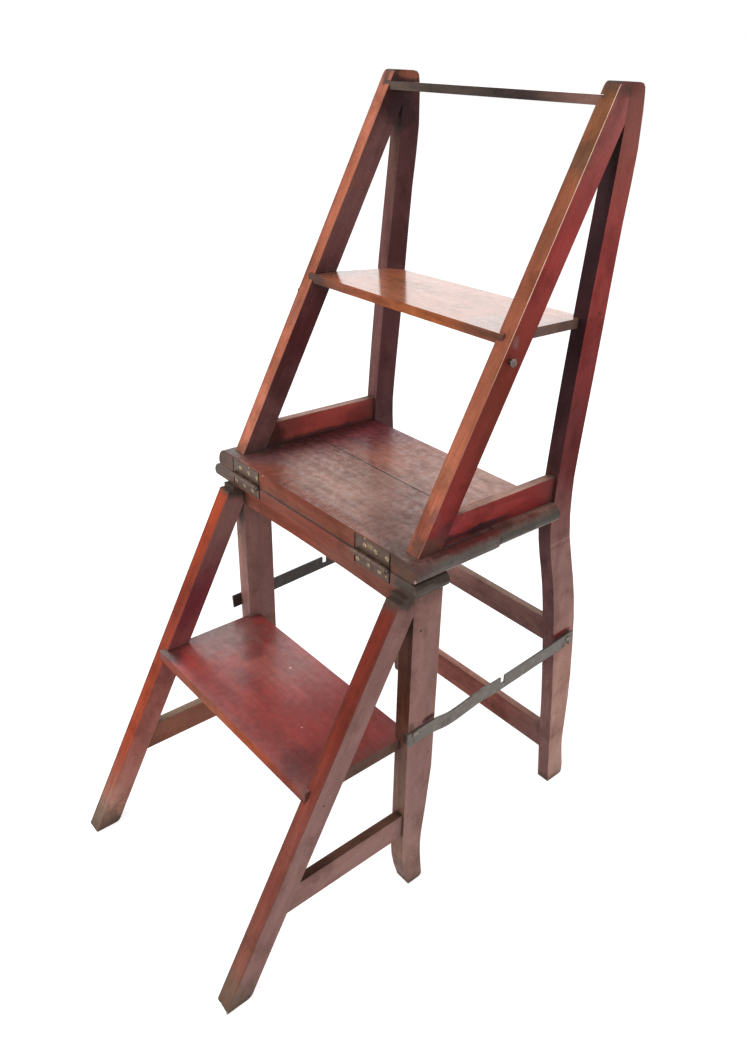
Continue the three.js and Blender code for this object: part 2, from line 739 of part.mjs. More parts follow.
// The upper half: a post, a stile, a seat rail and two stay screws on each side
for (const { side, sign } of sides) {
  const timber = sign > 0 ? [frameInner, frameHalfWidth] : [-frameHalfWidth, -frameInner];
  const { post: onPost, stile: onStile } = stayPlaces(stayPlans[side]);
  const postHole = staySeatScrew(sign, frameHalfWidth, onPost.y, onPost.z, restGap);
  const mortises = backRails.map((rail) => backRail(rail, restGap));
  const postCuts = [topTread(restGap), middleTread(restGap), postHole, ...mortises];
  const post = cutAll(sideSolid(postShape(0), ...timber), postCuts);
  upperHalf.add(meshOf(`rear_post_${side}`, post, finishes.polishedWood));

  const stileHole = staySeatScrew(sign, frameHalfWidth, onStile.y, onStile.z, restGap);
  const behindPost = sideSolid(postShape(restGap), -frameHalfWidth - overrun, frameHalfWidth + overrun);
  const stileCuts = [behindPost, topTread(restGap), middleTread(restGap), stileHole];
  const stile = cutAll(sideSolid(upperStileShape(), ...timber), stileCuts);
  upperHalf.add(meshOf(`upper_stile_${side}`, stile, finishes.polishedWood));

  const outer = frameHalfWidth - seatRailInset;
  const span = sign > 0 ? [outer - seatRailThickness, outer] : [-outer, seatRailThickness - outer];
  const bottom = seatTop + restGap;
  const top = bottom + seatRailHeight;
  const rearAt = (z) => reachOf(postFront, z);
  const rail = sideRail(upperStileFront, upperStileRear, bottom, top, rearAt, ...span);
  upperHalf.add(meshOf(`seat_rail_${side}`, cutAll(rail, seatPilots), finishes.polishedWood));

  const postScrew = staySeatScrew(sign, frameHalfWidth, onPost.y, onPost.z, 0);
  upperHalf.add(meshOf(`post_hook_screw_${side}`, postScrew, finishes.screwSteel));
  const stileScrew = staySeatScrew(sign, frameHalfWidth, onStile.y, onStile.z, 0);
  upperHalf.add(meshOf(`stile_hook_screw_${side}`, stileScrew, finishes.screwSteel));
  for (const { name, place } of seatScrews(sign)) {
    const screw = woodScrew(place, alongZ, seatScrewLength, 0);
    upperHalf.add(meshOf(`seat_${name}_screw_${side}`, screw, finishes.screwSteel));
  }
}

// Hinges, with the pin and the lower leaf on the stand
for (const [side, centre] of centres) {
  stand.add(meshOf(`hinge_lower_leaf_${side}`, hingeLeaf(centre, false), finishes.brass));
  stand.add(meshOf(`hinge_pin_${side}`, hingePin(centre), finishes.brass));
  upperHalf.add(meshOf(`hinge_upper_leaf_${side}`, hingeLeaf(centre, true), finishes.brass));
  for (const upper of [false, true]) {
    const level = upper ? 'upper' : 'lower';
    leafScrews(centre, upper).forEach((place, i) => {
      const screw = woodScrew(place, alongY, leafScrewLength, 0);
      const half = upper ? upperHalf : stand;
      half.add(meshOf(`hinge_${level}_screw_${side}_${i + 1}`, screw, finishes.brass));
    });
  }
}

// Stays, each turning on the stand's pivot screw
for (const { side, sign } of sides) {
  root.add(meshOf(`stay_${side}`, stay(sign, stayPlans[side]), finishes.iron));
}

export default root;
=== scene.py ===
"""Library chair that turns over into a step ladder: its finishes, fittings, light and camera."""
import json
import math
import random

import bmesh
import bpy
from mathutils import Matrix, Vector

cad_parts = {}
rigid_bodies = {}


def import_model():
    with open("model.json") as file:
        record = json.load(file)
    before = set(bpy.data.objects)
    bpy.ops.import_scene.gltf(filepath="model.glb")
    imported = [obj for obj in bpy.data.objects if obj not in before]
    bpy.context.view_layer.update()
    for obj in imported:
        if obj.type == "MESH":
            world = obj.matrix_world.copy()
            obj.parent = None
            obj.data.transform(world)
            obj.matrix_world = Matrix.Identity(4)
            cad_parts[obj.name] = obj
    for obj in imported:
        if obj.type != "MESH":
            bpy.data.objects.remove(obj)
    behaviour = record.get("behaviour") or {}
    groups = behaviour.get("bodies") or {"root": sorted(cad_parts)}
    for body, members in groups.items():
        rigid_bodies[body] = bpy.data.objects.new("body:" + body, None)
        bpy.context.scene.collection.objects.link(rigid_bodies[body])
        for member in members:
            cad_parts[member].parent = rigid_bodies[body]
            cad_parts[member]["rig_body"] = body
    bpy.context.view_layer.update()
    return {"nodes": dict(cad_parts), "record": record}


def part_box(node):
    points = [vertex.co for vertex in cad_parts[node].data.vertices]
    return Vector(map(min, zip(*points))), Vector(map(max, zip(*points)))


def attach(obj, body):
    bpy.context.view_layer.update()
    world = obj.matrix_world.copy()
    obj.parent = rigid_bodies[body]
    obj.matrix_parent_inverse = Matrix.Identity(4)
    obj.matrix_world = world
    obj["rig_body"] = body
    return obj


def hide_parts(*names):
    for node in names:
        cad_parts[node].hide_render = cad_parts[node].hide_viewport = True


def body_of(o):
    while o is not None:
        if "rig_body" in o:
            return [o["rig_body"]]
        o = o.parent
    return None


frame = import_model()
scene = bpy.context.scene
nodes = frame["nodes"]

MM = 0.001
SIDES = (("left", -1), ("right", 1))

# The photograph: its size in pixels, where its optical axis falls, its focal length in pixels
PHOTO_WIDTH, PHOTO_HEIGHT = 747, 1054
AXIS_ACROSS, AXIS_DOWN = 428.8, 522.63
FOCAL_PIXELS = 851.73
SENSOR = 36.0
EYE = Vector((0.709568, -0.529722, 0.897764))
TURN, TILT, LEAN = 0.802697, -0.484809, 0.055048

# Colours of the old finish, of its wear and of the fittings, as web colours
COLOURS = {
    "cream": "#F2CDB0",
    "blossom": "#EFC2B0",
    "shell": "#CAA192",
    "blush": "#C39181",
    "dun": "#B5887A",
    "bone": "#B09689",
    "haze": "#A98478",
    "fawn": "#A07B6D",
    "thistle": "#9C746D",
    "mauve": "#97706A",
    "taupe": "#95806F",
    "ash": "#8A6A60",
    "plum": "#87625D",
    "walnut": "#7D5B4D",
    "grape": "#76504F",
    "tobacco": "#68493C",
    "zinc": "#77716D",
    "flint": "#5E5A55",
    "smoke": "#5E5049",
    "umber": "#5F4339",
    "peach": "#BD755C",
    "honey": "#BE7040",
    "copper": "#B0684E",
    "orange": "#B45225",
    "flame": "#B04A28",
    "clay": "#A86A5A",
    "amber": "#9C583C",
    "cinnamon": "#935F4D",
    "redwood": "#8E5349",
    "rust": "#8C452E",
    "saddle": "#845244",
    "chestnut": "#7F4A38",
    "sienna": "#852F17",
    "mahogany": "#813B26",
    "rose": "#BC564F",
    "salmon": "#B57066",
    "dusty_rose": "#A15C58",
    "crimson": "#AC403A",
    "cherry": "#A03C38",
    "madder": "#9F3C42",
    "claret": "#8F3F3B",
    "rosewood": "#894A3E",
    "oxblood": "#8B2A27",
    "ruby": "#7B2624",
    "brick": "#762B1C",
    "burgundy": "#7A3840",
    "garnet": "#6A1F1F",
    "damson": "#683D3F",
    "wine": "#532226",
    "bark": "#533030",
    "maroon": "#43201F",
    "black_red": "#33151A",
    "cocoa": "#4C2A1C",
    "char": "#51463E",
    "dirt": "#463A32",
    "mud": "#6E5D4C",
    "soot": "#3A2E2B",
    "sepia": "#5A4230",
    "ochre": "#8C5A38",
    "bare": "#C08F68",
    "silver": "#B4ACA4",
    "brass": "#4C372C",
    "rubbed_brass": "#6B503B",
    "brass_dirt": "#3A2D25",
    "yellow_brass": "#84704A",
    "iron": "#625A54",
    "rubbed_iron": "#7B736B",
    "iron_rust": "#4A3A32",
    "dark_iron": "#332E2B",
    "dark_edge": "#463F3A",
    "pin": "#554F47",
    "rubbed_pin": "#756D62",
    "screw": "#5C534A",
    "rubbed_screw": "#A39888",
    "bright_screw": "#8A7558",
    "rubbed_gold_glint": "#CDB78A",
    "rim_dirt_and_shade": "#3B2E27",
    "rim_edge": "#55443A",
}

# How far the dirt reaches from the ends of a piece, and from the edges of a stile's front
END_REACH = 30.0 * MM
BORDER_REACH = 5.0 * MM

# Height over which a line fades in, and the start of a line that doesn't fade, in millimetres
LINE_FADE = 120.0 * MM
BELOW_FLOOR = -1000

# How much of the figure shows on the sides of a piece, against its front and top
SIDE_SHARE = 0.35

# Figure of the mahogany: how close each mark lies across and along the grain, the detail and the
# roughness of its noise, and the bounds between which the noise becomes the mark
GRAIN_MARKS = {
    "Streak": ((130.0, 130.0, 5.0), 3.0, 0.6, (0.33, 0.67)),
    "Fleck": ((210.0, 210.0, 60.0), 3.0, 0.7, (0.38, 0.66)),
    "Pore": ((800.0, 800.0, 26.0), 2.0, 0.6, (0.54, 0.68)),
    "Cloud": ((22.0, 22.0, 8.0), 3.0, 0.6, (0.3, 0.7)),
}

# Other noises: scale, detail and, where it isn't the usual one, roughness
SWAY_NOISE = (9.0, 1.0)
SPECKLE_NOISE = (330.0, 3.0, 0.7)
BLOTCH_NOISE = (17.0, 5.0, 0.65)
SPOT_NOISE = (60.0, 6.0, 0.75)
LINE_NOISE = (70.0, 5.0, 0.7)
TORN_NOISE = (110.0, 4.0, 0.7)
DENT_NOISE = (120.0, 3.0)
PIT_NOISE = (700.0, 3.0)

# How much each mark and the bared wood change the stain, the bounds of the speckles and of the
# film of dirt, and the scale of the bared patches
DARK_STREAK_SHARE, LIGHT_STREAK_SHARE = 0.5, 0.55
FLECK_SHARE, PORE_SHARE, SPECKLE_SHARE = 0.34, 0.5, 0.2
CLOUD_SHARE, FILM_SHARE, BARED_SHARE = 0.4, 0.7, 0.7
SPECKLE_BOUNDS = (0.4, 0.66)
FILM_BOUNDS = (0.46, 0.66)
BARED_SCALE = 75.0

# Which part of a normal makes a face a front, a side, a top or a level top, and its bounds
FACINGS = {
    "Front": ("Y", -0.55, -0.75),
    "Right": ("X", 0.6, 0.8),
    "Left": ("X", -0.6, -0.8),
    "Top": ("Z", 0.6, 0.8),
    "Level": ("Z", 0.97, 0.995),
}

# Rubbing: detail and roughness of its noise, the levels at which nothing and everything is
# rubbed, and how soft its edge is
RUB_NOISE = (4.0, 0.65)
RUB_LEVELS = (0.72, 0.28)
RUB_SOFTNESS = 0.07

# How ragged spots and lines are, and the bounds of their edges and of dirt's, as shares of a reach
SPOT_RAG, SPOT_EDGE_SHARES = 1.6, (1.0, 0.4)
LINE_RAG, LINE_EDGE_SHARES = 1.8, (1.0, 0.6)
DIRT_EDGE_SHARES = (1.3, 0.3)

# Darkening in corners: the openness between which it sets in, on wood as dirt and painted shade,
# and on metal as dirt
WOOD_GRIME_AND_SHADE_BOUNDS = (0.85, 0.35)
METAL_GRIME_BOUNDS = (0.6, 0.2)

# What film, corner dirt and painted shade, and a metal's dirt add to the roughness, and where a
# polish is worn thin
FILM_ROUGHNESS, CORNER_ROUGHNESS, DIRT_ROUGHNESS = 0.1, 0.2, 0.3
POLISH_BOUNDS = (0.3, 0.62)

# Old metal: how much is rubbed, how far it takes the tone of its edges and of its dirt, how
# metallic the dirt is, and how many times broader its patches are than the rubbed ones
RUBBED_SHARE, EDGE_TONE_SHARE, DIRT_TONE_SHARE = 0.4, 0.55, 0.6
DIRTY_METAL_SHARE = 0.3
DIRT_BREADTH = 3

# What the stain is multiplied by in its dark and its light figure, and under the film of dirt
DEEPENED = (0.42, 0.34, 0.34, 1.0)
WARMED = (1.6, 1.45, 1.3, 1.0)
FILMED = (0.55, 0.52, 0.5, 1.0)

# How far the figure sways off straight, and how far the colours along a piece shift with it
GRAIN_SWAY = 12.0 * MM
COLOUR_SHIFT = 40.0 * MM

# Sheen of the old finish, apart from any polish
SHEEN = 0.1

# Height and strength of the relief: the grain, dents in the wood, pits in the metal
GRAIN_RELIEF, GRAIN_BUMP = 0.5 * MM, 0.16
DENT_RELIEF, DENT_BUMP = 2.0 * MM, 0.1
PIT_RELIEF, PIT_BUMP = 0.6 * MM, 0.3

# A timber where nothing else is said: how much of its arrises is rubbed, dirt and painted shade
# in its corners, roughness, dirt at its ends and its edges, figure, polish (weight, index,
# roughness) and what is left of the polish where it is worn, then its marks
PLAIN_WOOD = {
    "rub": 0.42, "grime": 0.6, "gloss": (0.4, 0.55), "ends": 0.5, "border": 0.0, "figure": 0.7,
    "polish": (0.0, 1.5, 0.3), "patchy": 0.6, "spots": (), "lines": (),
}

# A nail hole: its size in millimetres and how dark it is
NAIL_HOLE_REACH, NAIL_HOLE_STRENGTH = (1.9, 1.9, 1.9), 0.95

# How far the darkening of a corner reaches out of it, on wood as dirt and painted shade and on
# metal as dirt, and the rays that find it
WOOD_CREVICE = 20.0 * MM
METAL_CREVICE = 3.0 * MM
CREVICE_RAYS = 8

# Rounding of the arrises, and the angles from which an edge is rounded, kept and shaded sharp
TIMBER_ARRIS = 1.3 * MM
TREAD_ARRIS = 1.6 * MM
METAL_ARRIS = 0.35 * MM
ARRIS_STEPS = 3
ARRIS_ANGLE = math.radians(28)
FLAT_ANGLE = math.radians(0.4)
SHARP_ANGLE = math.radians(40)

# Splinters broken off the foot of the right lower stile: how many, the deepest and the highest,
# and the least and the largest share of those that one has
SPLINTERS = 5
SPLINTER_DEPTH = 3.5 * MM
SPLINTER_RISE = 5.0 * MM
SPLINTER_SHARES = (0.4, 1.0)
SPLINTER_SEED = 3
CUT_OVERLAP = 0.05 * MM

# Points of a mesh nearer than this are one point
WELD_REACH = 0.01 * MM

# Lean of the two pairs of stiles from upright, as the side frames are cut
LOWER_LEAN = math.atan(228 / 433)
UPPER_LEAN = math.atan(228 / 428)

# Screws: radii and heights of the heads and shanks, then the slots, the seed of their slants, and
# how far the crown and the slot reach
LEAF_HEAD, LEAF_HEAD_DEPTH, LEAF_SHANK = 3.0 * MM, 1.7 * MM, 1.4 * MM
LEAF_CROWN = 0.3 * MM
STAY_HEAD, STAY_HEAD_HEIGHT, STAY_SHANK = 4.3 * MM, 1.6 * MM, 2.5 * MM
SLOT_WIDTH, SLOT_DEPTH = 0.45 * MM, 0.8 * MM
SLANT_SEED = 11
CROWN_SHARE = 0.5
SLOT_LENGTH_SHARE = 1.5
SCREW_STEPS, NAIL_STEPS = 28, 16

# Brass nails in the seat's front edge and a brad beside a hinge, as places along the edge and up
NAIL_PLACES = ((-111, 469), (-80, 469.8), (111, 469.8))
BRAD_PLACE = (146, 440)
NAIL_HEAD, NAIL_PROUD, NAIL_SHANK, NAIL_DEPTH = 1.3 * MM, 0.4 * MM, 0.65 * MM, 3.0 * MM

# Outlines of the heads from the rim inward, as shares of their radius and height
LEAF_HEAD_SHARES = ((1.0, 0.0), (0.8, 0.6), (0.4, 1.0), (0.0, 1.0))
STAY_HEAD_SHARES = ((1.0, -1.0), (1.0, -0.7), (0.85, -0.3), (0.5, -0.06), (0.0, 0.0))
NAIL_HEAD_SHARES = ((1.0, 0.0), (0.7, 0.8), (0.0, 1.0))

# Floor: how far it goes, its tone, and its glow to the camera and in reflections
FLOOR_REACH = 9.0
FLOOR_TONE = (0.85, 0.85, 0.85, 1.0)
FLOOR_GLOW = 0.62

# Strength of the white room on the wood, and what is added where it is seen or reflected
ROOM_STRENGTH = 0.63
SEEN_EXTRA = 0.37
REFLECTED_EXTRA = 1.0

# Soft boxes: name, stand, width and watts, all aimed at the middle of the ladder
LAMPS = (
    ("key", (-1.5, -2.4, 2.5), 2.0, 55),
    ("fill", (2.6, -0.8, 1.8), 2.0, 14),
)
LAMP_AIM = (0.0, 0.0, 0.5)
FAR_CLIP = 60.0


def colour(name):
    """A named colour as linear RGBA."""
    code = COLOURS[name].lstrip("#")
    shares = [int(code[i:i + 2], 16) / 255 for i in (0, 2, 4)]
    linear = [s / 12.92 if s <= 0.04045 else ((s + 0.055) / 1.055) ** 2.4 for s in shares]
    return (*linear, 1.0)


# Node trees

def place(tree, kind, sockets=None, **settings):
    """Adds a node, sets its properties, and fills its sockets with values or links."""
    node = tree.nodes.new(kind)
    for name, value in settings.items():
        setattr(node, name, value)
    for key, value in (sockets or {}).items():
        socket = node.inputs[key]
        if isinstance(value, bpy.types.NodeSocket):
            tree.links.new(value, socket)
        else:
            socket.default_value = value
    return node


def sums(tree, operation, first, second=0.0, third=0.0):
    """The result of a sum on values."""
    sockets = {0: first, 1: second, 2: third}
    return place(tree, "ShaderNodeMath", sockets, operation=operation).outputs[0]


def vector_sums(tree, operation, first, second=(0.0, 0.0, 0.0)):
    """The result of a sum on vectors."""
    node = place(tree, "ShaderNodeVectorMath", {0: first, 1: second}, operation=operation)
    return node.outputs["Value" if operation == "LENGTH" else "Vector"]


def mixed(tree, share, first, second, way="MIX"):
    """Two colours mixed by a share."""
    sockets = {0: share, 6: first, 7: second}
    node = place(tree, "ShaderNodeMix", sockets, data_type="RGBA", blend_type=way)
    return node.outputs[2]


def marked(tree, mask, share, first, second):
    """The second colour mixed into the first where a mask is, by a share of it."""
    return mixed(tree, sums(tree, "MULTIPLY", mask, share), first, second)


def stepped(tree, value, low, high, to_low=0.0, to_high=1.0):
    """A value run smoothly from one level to another between two bounds."""
    sockets = {"Value": value, 1: low, 2: high, 3: to_low, 4: to_high}
    node = place(tree, "ShaderNodeMapRange", sockets, interpolation_type="SMOOTHSTEP")
    return node.outputs["Result"]


def mottle(tree, vector, scale, detail=2.0, roughness=0.5):
    """Cloudy noise over a place: its outputs."""
    sockets = {"Vector": vector, "Scale": scale, "Detail": detail, "Roughness": roughness}
    return place(tree, "ShaderNodeTexNoise", sockets).outputs


def shader_group(name, takes, gives):
    """A new node group with the inputs and outputs named, each with its type."""
    tree = bpy.data.node_groups.new(name, "ShaderNodeTree")
    for way, rows in (("INPUT", takes), ("OUTPUT", gives)):
        for label, kind in rows.items():
            tree.interface.new_socket(label, in_out=way, socket_type="NodeSocket" + kind)
    entry = tree.nodes.new("NodeGroupInput").outputs
    leave = tree.nodes.new("NodeGroupOutput").inputs
    return tree, entry, leave


def grain_group():
    """Mahogany's figure with Z along the grain: its marks and their relief."""
    gives = dict.fromkeys([*GRAIN_MARKS, "Relief"], "Float")
    tree, entry, leave = shader_group("mahogany_grain", {"Place": "Vector"}, gives)
    sway = mottle(tree, entry["Place"], *SWAY_NOISE)["Color"]
    swayed = vector_sums(tree, "MULTIPLY_ADD", sway, (GRAIN_SWAY, GRAIN_SWAY, 0.0))
    tree.links.new(entry["Place"], swayed.node.inputs[2])
    noises, marks = {}, {}
    for mark, (pace, detail, roughness, bounds) in GRAIN_MARKS.items():
        source = entry["Place"] if mark == "Cloud" else swayed
        paced = vector_sums(tree, "MULTIPLY", source, pace)
        noises[mark] = mottle(tree, paced, 1.0, detail, roughness)["Fac"]
        marks[mark] = stepped(tree, noises[mark], *bounds)
        tree.links.new(marks[mark], leave[mark])
    tree.links.new(sums(tree, "SUBTRACT", noises["Streak"], marks["Pore"]), leave["Relief"])
    return tree


def stain_group():
    """Old stain: the figure of the wood, a film of dirt, and more dirt where it gathers."""
    takes = {
        "Colour": "Color", "Place": "Vector", **dict.fromkeys(GRAIN_MARKS, "Float"),
        "Figure": "Float", "Dirt": "Float",
    }
    tree, entry, leave = shader_group("old_stain", takes, {"Colour": "Color", "Film": "Float"})
    plain = entry["Colour"]
    deep = mixed(tree, 1.0, plain, DEEPENED, "MULTIPLY")
    warm = mixed(tree, 1.0, plain, WARMED, "MULTIPLY")
    dark_streak = mixed(tree, DARK_STREAK_SHARE, plain, deep)
    light_streak = mixed(tree, LIGHT_STREAK_SHARE, plain, warm)
    figured = mixed(tree, entry["Streak"], dark_streak, light_streak)
    flecked = marked(tree, entry["Fleck"], FLECK_SHARE, figured, warm)
    pored = marked(tree, entry["Pore"], PORE_SHARE, flecked, deep)
    grained = mixed(tree, entry["Figure"], plain, pored)
    speckles = mottle(tree, entry["Place"], *SPECKLE_NOISE)["Fac"]
    speckle = stepped(tree, speckles, *SPECKLE_BOUNDS)
    speckled = marked(tree, speckle, SPECKLE_SHARE, grained, deep)
    clouded = marked(tree, entry["Cloud"], CLOUD_SHARE, speckled, deep)
    blotches = mottle(tree, entry["Place"], *BLOTCH_NOISE)["Fac"]
    film = stepped(tree, blotches, *FILM_BOUNDS)
    grimy = mixed(tree, 1.0, clouded, FILMED, "MULTIPLY")
    filmed = marked(tree, film, FILM_SHARE, clouded, grimy)
    dirty = mixed(tree, entry["Dirt"], filmed, colour("dirt"))
    tree.links.new(dirty, leave["Colour"])
    tree.links.new(film, leave["Film"])
    return tree


def sides_group():
    """How far a surface faces the front, the right, the left and up."""
    gives = dict.fromkeys(FACINGS, "Float")
    tree, entry, leave = shader_group("facing_sides", {"Normal": "Vector"}, gives)
    parts = place(tree, "ShaderNodeSeparateXYZ", {0: entry["Normal"]}).outputs
    for side, (part, low, high) in FACINGS.items():
        tree.links.new(stepped(tree, parts[part], low, high), leave[side])
    return tree


def rubbed_group():
    """Ragged patches that cover a given share of the surface."""
    takes = {"Place": "Vector", "Share": "Float", "Scale": "Float"}
    tree, entry, leave = shader_group("rubbed_patches", takes, {"Mask": "Float"})
    field = mottle(tree, entry["Place"], entry["Scale"], *RUB_NOISE)["Fac"]
    level = stepped(tree, entry["Share"], 0.0, 1.0, *RUB_LEVELS)
    low = sums(tree, "SUBTRACT", level, RUB_SOFTNESS)
    high = sums(tree, "ADD", level, RUB_SOFTNESS)
    tree.links.new(stepped(tree, field, low, high), leave["Mask"])
    return tree


def spot_group():
    """A soft, ragged spot round a centre."""
    takes = {"Place": "Vector", "Centre": "Vector", "Reach": "Vector", "Strength": "Float"}
    tree, entry, leave = shader_group("soft_spot", takes, {"Mask": "Float"})
    apart = vector_sums(tree, "SUBTRACT", entry["Place"], entry["Centre"])
    scaled = vector_sums(tree, "DIVIDE", apart, entry["Reach"])
    far = vector_sums(tree, "LENGTH", scaled)
    ragged = mottle(tree, entry["Place"], *SPOT_NOISE)["Fac"]
    inside = sums(tree, "SUBTRACT", far, SPOT_RAG / 2)
    edge = sums(tree, "MULTIPLY_ADD", ragged, SPOT_RAG, inside)
    mask = stepped(tree, edge, *SPOT_EDGE_SHARES)
    tree.links.new(sums(tree, "MULTIPLY", mask, entry["Strength"]), leave["Mask"])
    return tree


def line_group():
    """A thin, broken line along an arris, through a point in a unit direction."""
    takes = {
        "Place": "Vector", "Through": "Vector", "Along": "Vector", "Width": "Float", "From": "Float",
    }
    tree, entry, leave = shader_group("line_mark", takes, {"Mask": "Float"})
    apart = vector_sums(tree, "SUBTRACT", entry["Place"], entry["Through"])
    across = vector_sums(tree, "CROSS_PRODUCT", apart, entry["Along"])
    far = vector_sums(tree, "LENGTH", across)
    scaled = sums(tree, "DIVIDE", far, entry["Width"])
    ragged = mottle(tree, entry["Place"], *LINE_NOISE)["Fac"]
    inside = sums(tree, "SUBTRACT", scaled, LINE_RAG / 2)
    edge = sums(tree, "MULTIPLY_ADD", ragged, LINE_RAG, inside)
    mask = stepped(tree, edge, *LINE_EDGE_SHARES)
    height = place(tree, "ShaderNodeSeparateXYZ", {0: entry["Place"]}).outputs["Z"]
    risen = stepped(tree, sums(tree, "SUBTRACT", height, entry["From"]), 0.0, LINE_FADE)
    tree.links.new(sums(tree, "MULTIPLY", mask, risen), leave["Mask"])
    return tree


GROUPS = {
    "grain": grain_group(),
    "stain": stain_group(),
    "line": line_group(),
    "sides": sides_group(),
    "rubbed": rubbed_group(),
    "spot": spot_group(),
}


def openness(tree, reach):
    """How open a place is within a reach: 1 on a bare face, less in a corner."""
    sockets = {"Distance": reach}
    return place(tree, "ShaderNodeAmbientOcclusion", sockets, samples=CREVICE_RAYS).outputs["AO"]


def grouped(tree, name, sockets):
    """A shared effect placed in a material: its outputs."""
    return place(tree, "ShaderNodeGroup", sockets, node_tree=GROUPS[name]).outputs


def new_material(name):
    """An empty material: its tree, its coordinates and the output's surface socket."""
    material = bpy.data.materials.new(name)
    material.use_nodes = True
    tree = material.node_tree
    tree.nodes.clear()
    where = place(tree, "ShaderNodeTexCoord").outputs
    surface = place(tree, "ShaderNodeOutputMaterial").inputs["Surface"]
    return material, tree, where, surface


# Which way the grain runs: the turn that brings it upright
GRAIN_TURNS = {
    "x": (0.0, math.pi / 2, 0.0),
    "y": (math.pi / 2, 0.0, 0.0),
    "z": (0.0, 0.0, 0.0),
    "lower_stile": (LOWER_LEAN, 0.0, 0.0),
    "upper_stile": (UPPER_LEAN, 0.0, 0.0),
}


def shaded_run(tree, value, names):
    """Named colours spread evenly over a value from 0 to 1."""
    if len(names) == 1:
        return colour(names[0])
    ramp = place(tree, "ShaderNodeValToRGB", {"Fac": value})
    ramp.color_ramp.interpolation = "EASE"
    elements = ramp.color_ramp.elements
    while len(elements) < len(names):
        elements.new(0.5)
    for i, name in enumerate(names):
        elements[i].position = i / (len(names) - 1)
    for i, name in enumerate(names):
        elements[i].color = colour(name)
    return ramp.outputs["Color"]


def in_metres(lengths):
    """Lengths in millimetres as metres."""
    return [length * MM for length in lengths]


def spotted(tree, where, shown, spots):
    """A colour with soft patches over it, in rows of centre, reach, colour and strength."""
    for centre, reach, name, strength in spots:
        mask = grouped(tree, "spot", {
            "Place": where, "Centre": in_metres(centre), "Reach": in_metres(reach),
            "Strength": strength,
        })["Mask"]
        shown = mixed(tree, mask, shown, colour(name))
    return shown


def lined(tree, where, shown, lines):
    """A colour with thin marks over it, in rows of point, way, colour, width, strength and start."""
    for point, way, name, width, strength, start in lines:
        mask = grouped(tree, "line", {
            "Place": where, "Through": in_metres(point), "Along": Vector(way).normalized()[:],
            "Width": width * MM, "From": start * MM,
        })["Mask"]
        shown = marked(tree, mask, strength, shown, colour(name))
    return shown


def near_edges(tree, value, low, high, ragged, reach, strength):
    """How near a value comes to either end of its range, with a ragged edge."""
    from_low = sums(tree, "SUBTRACT", value, low)
    from_high = sums(tree, "SUBTRACT", high, value)
    inside = sums(tree, "MINIMUM", from_low, from_high)
    uneven = sums(tree, "MULTIPLY_ADD", ragged, reach, inside)
    bounds = [reach * share for share in DIRT_EDGE_SHARES]
    return stepped(tree, uneven, *bounds, 0.0, strength)


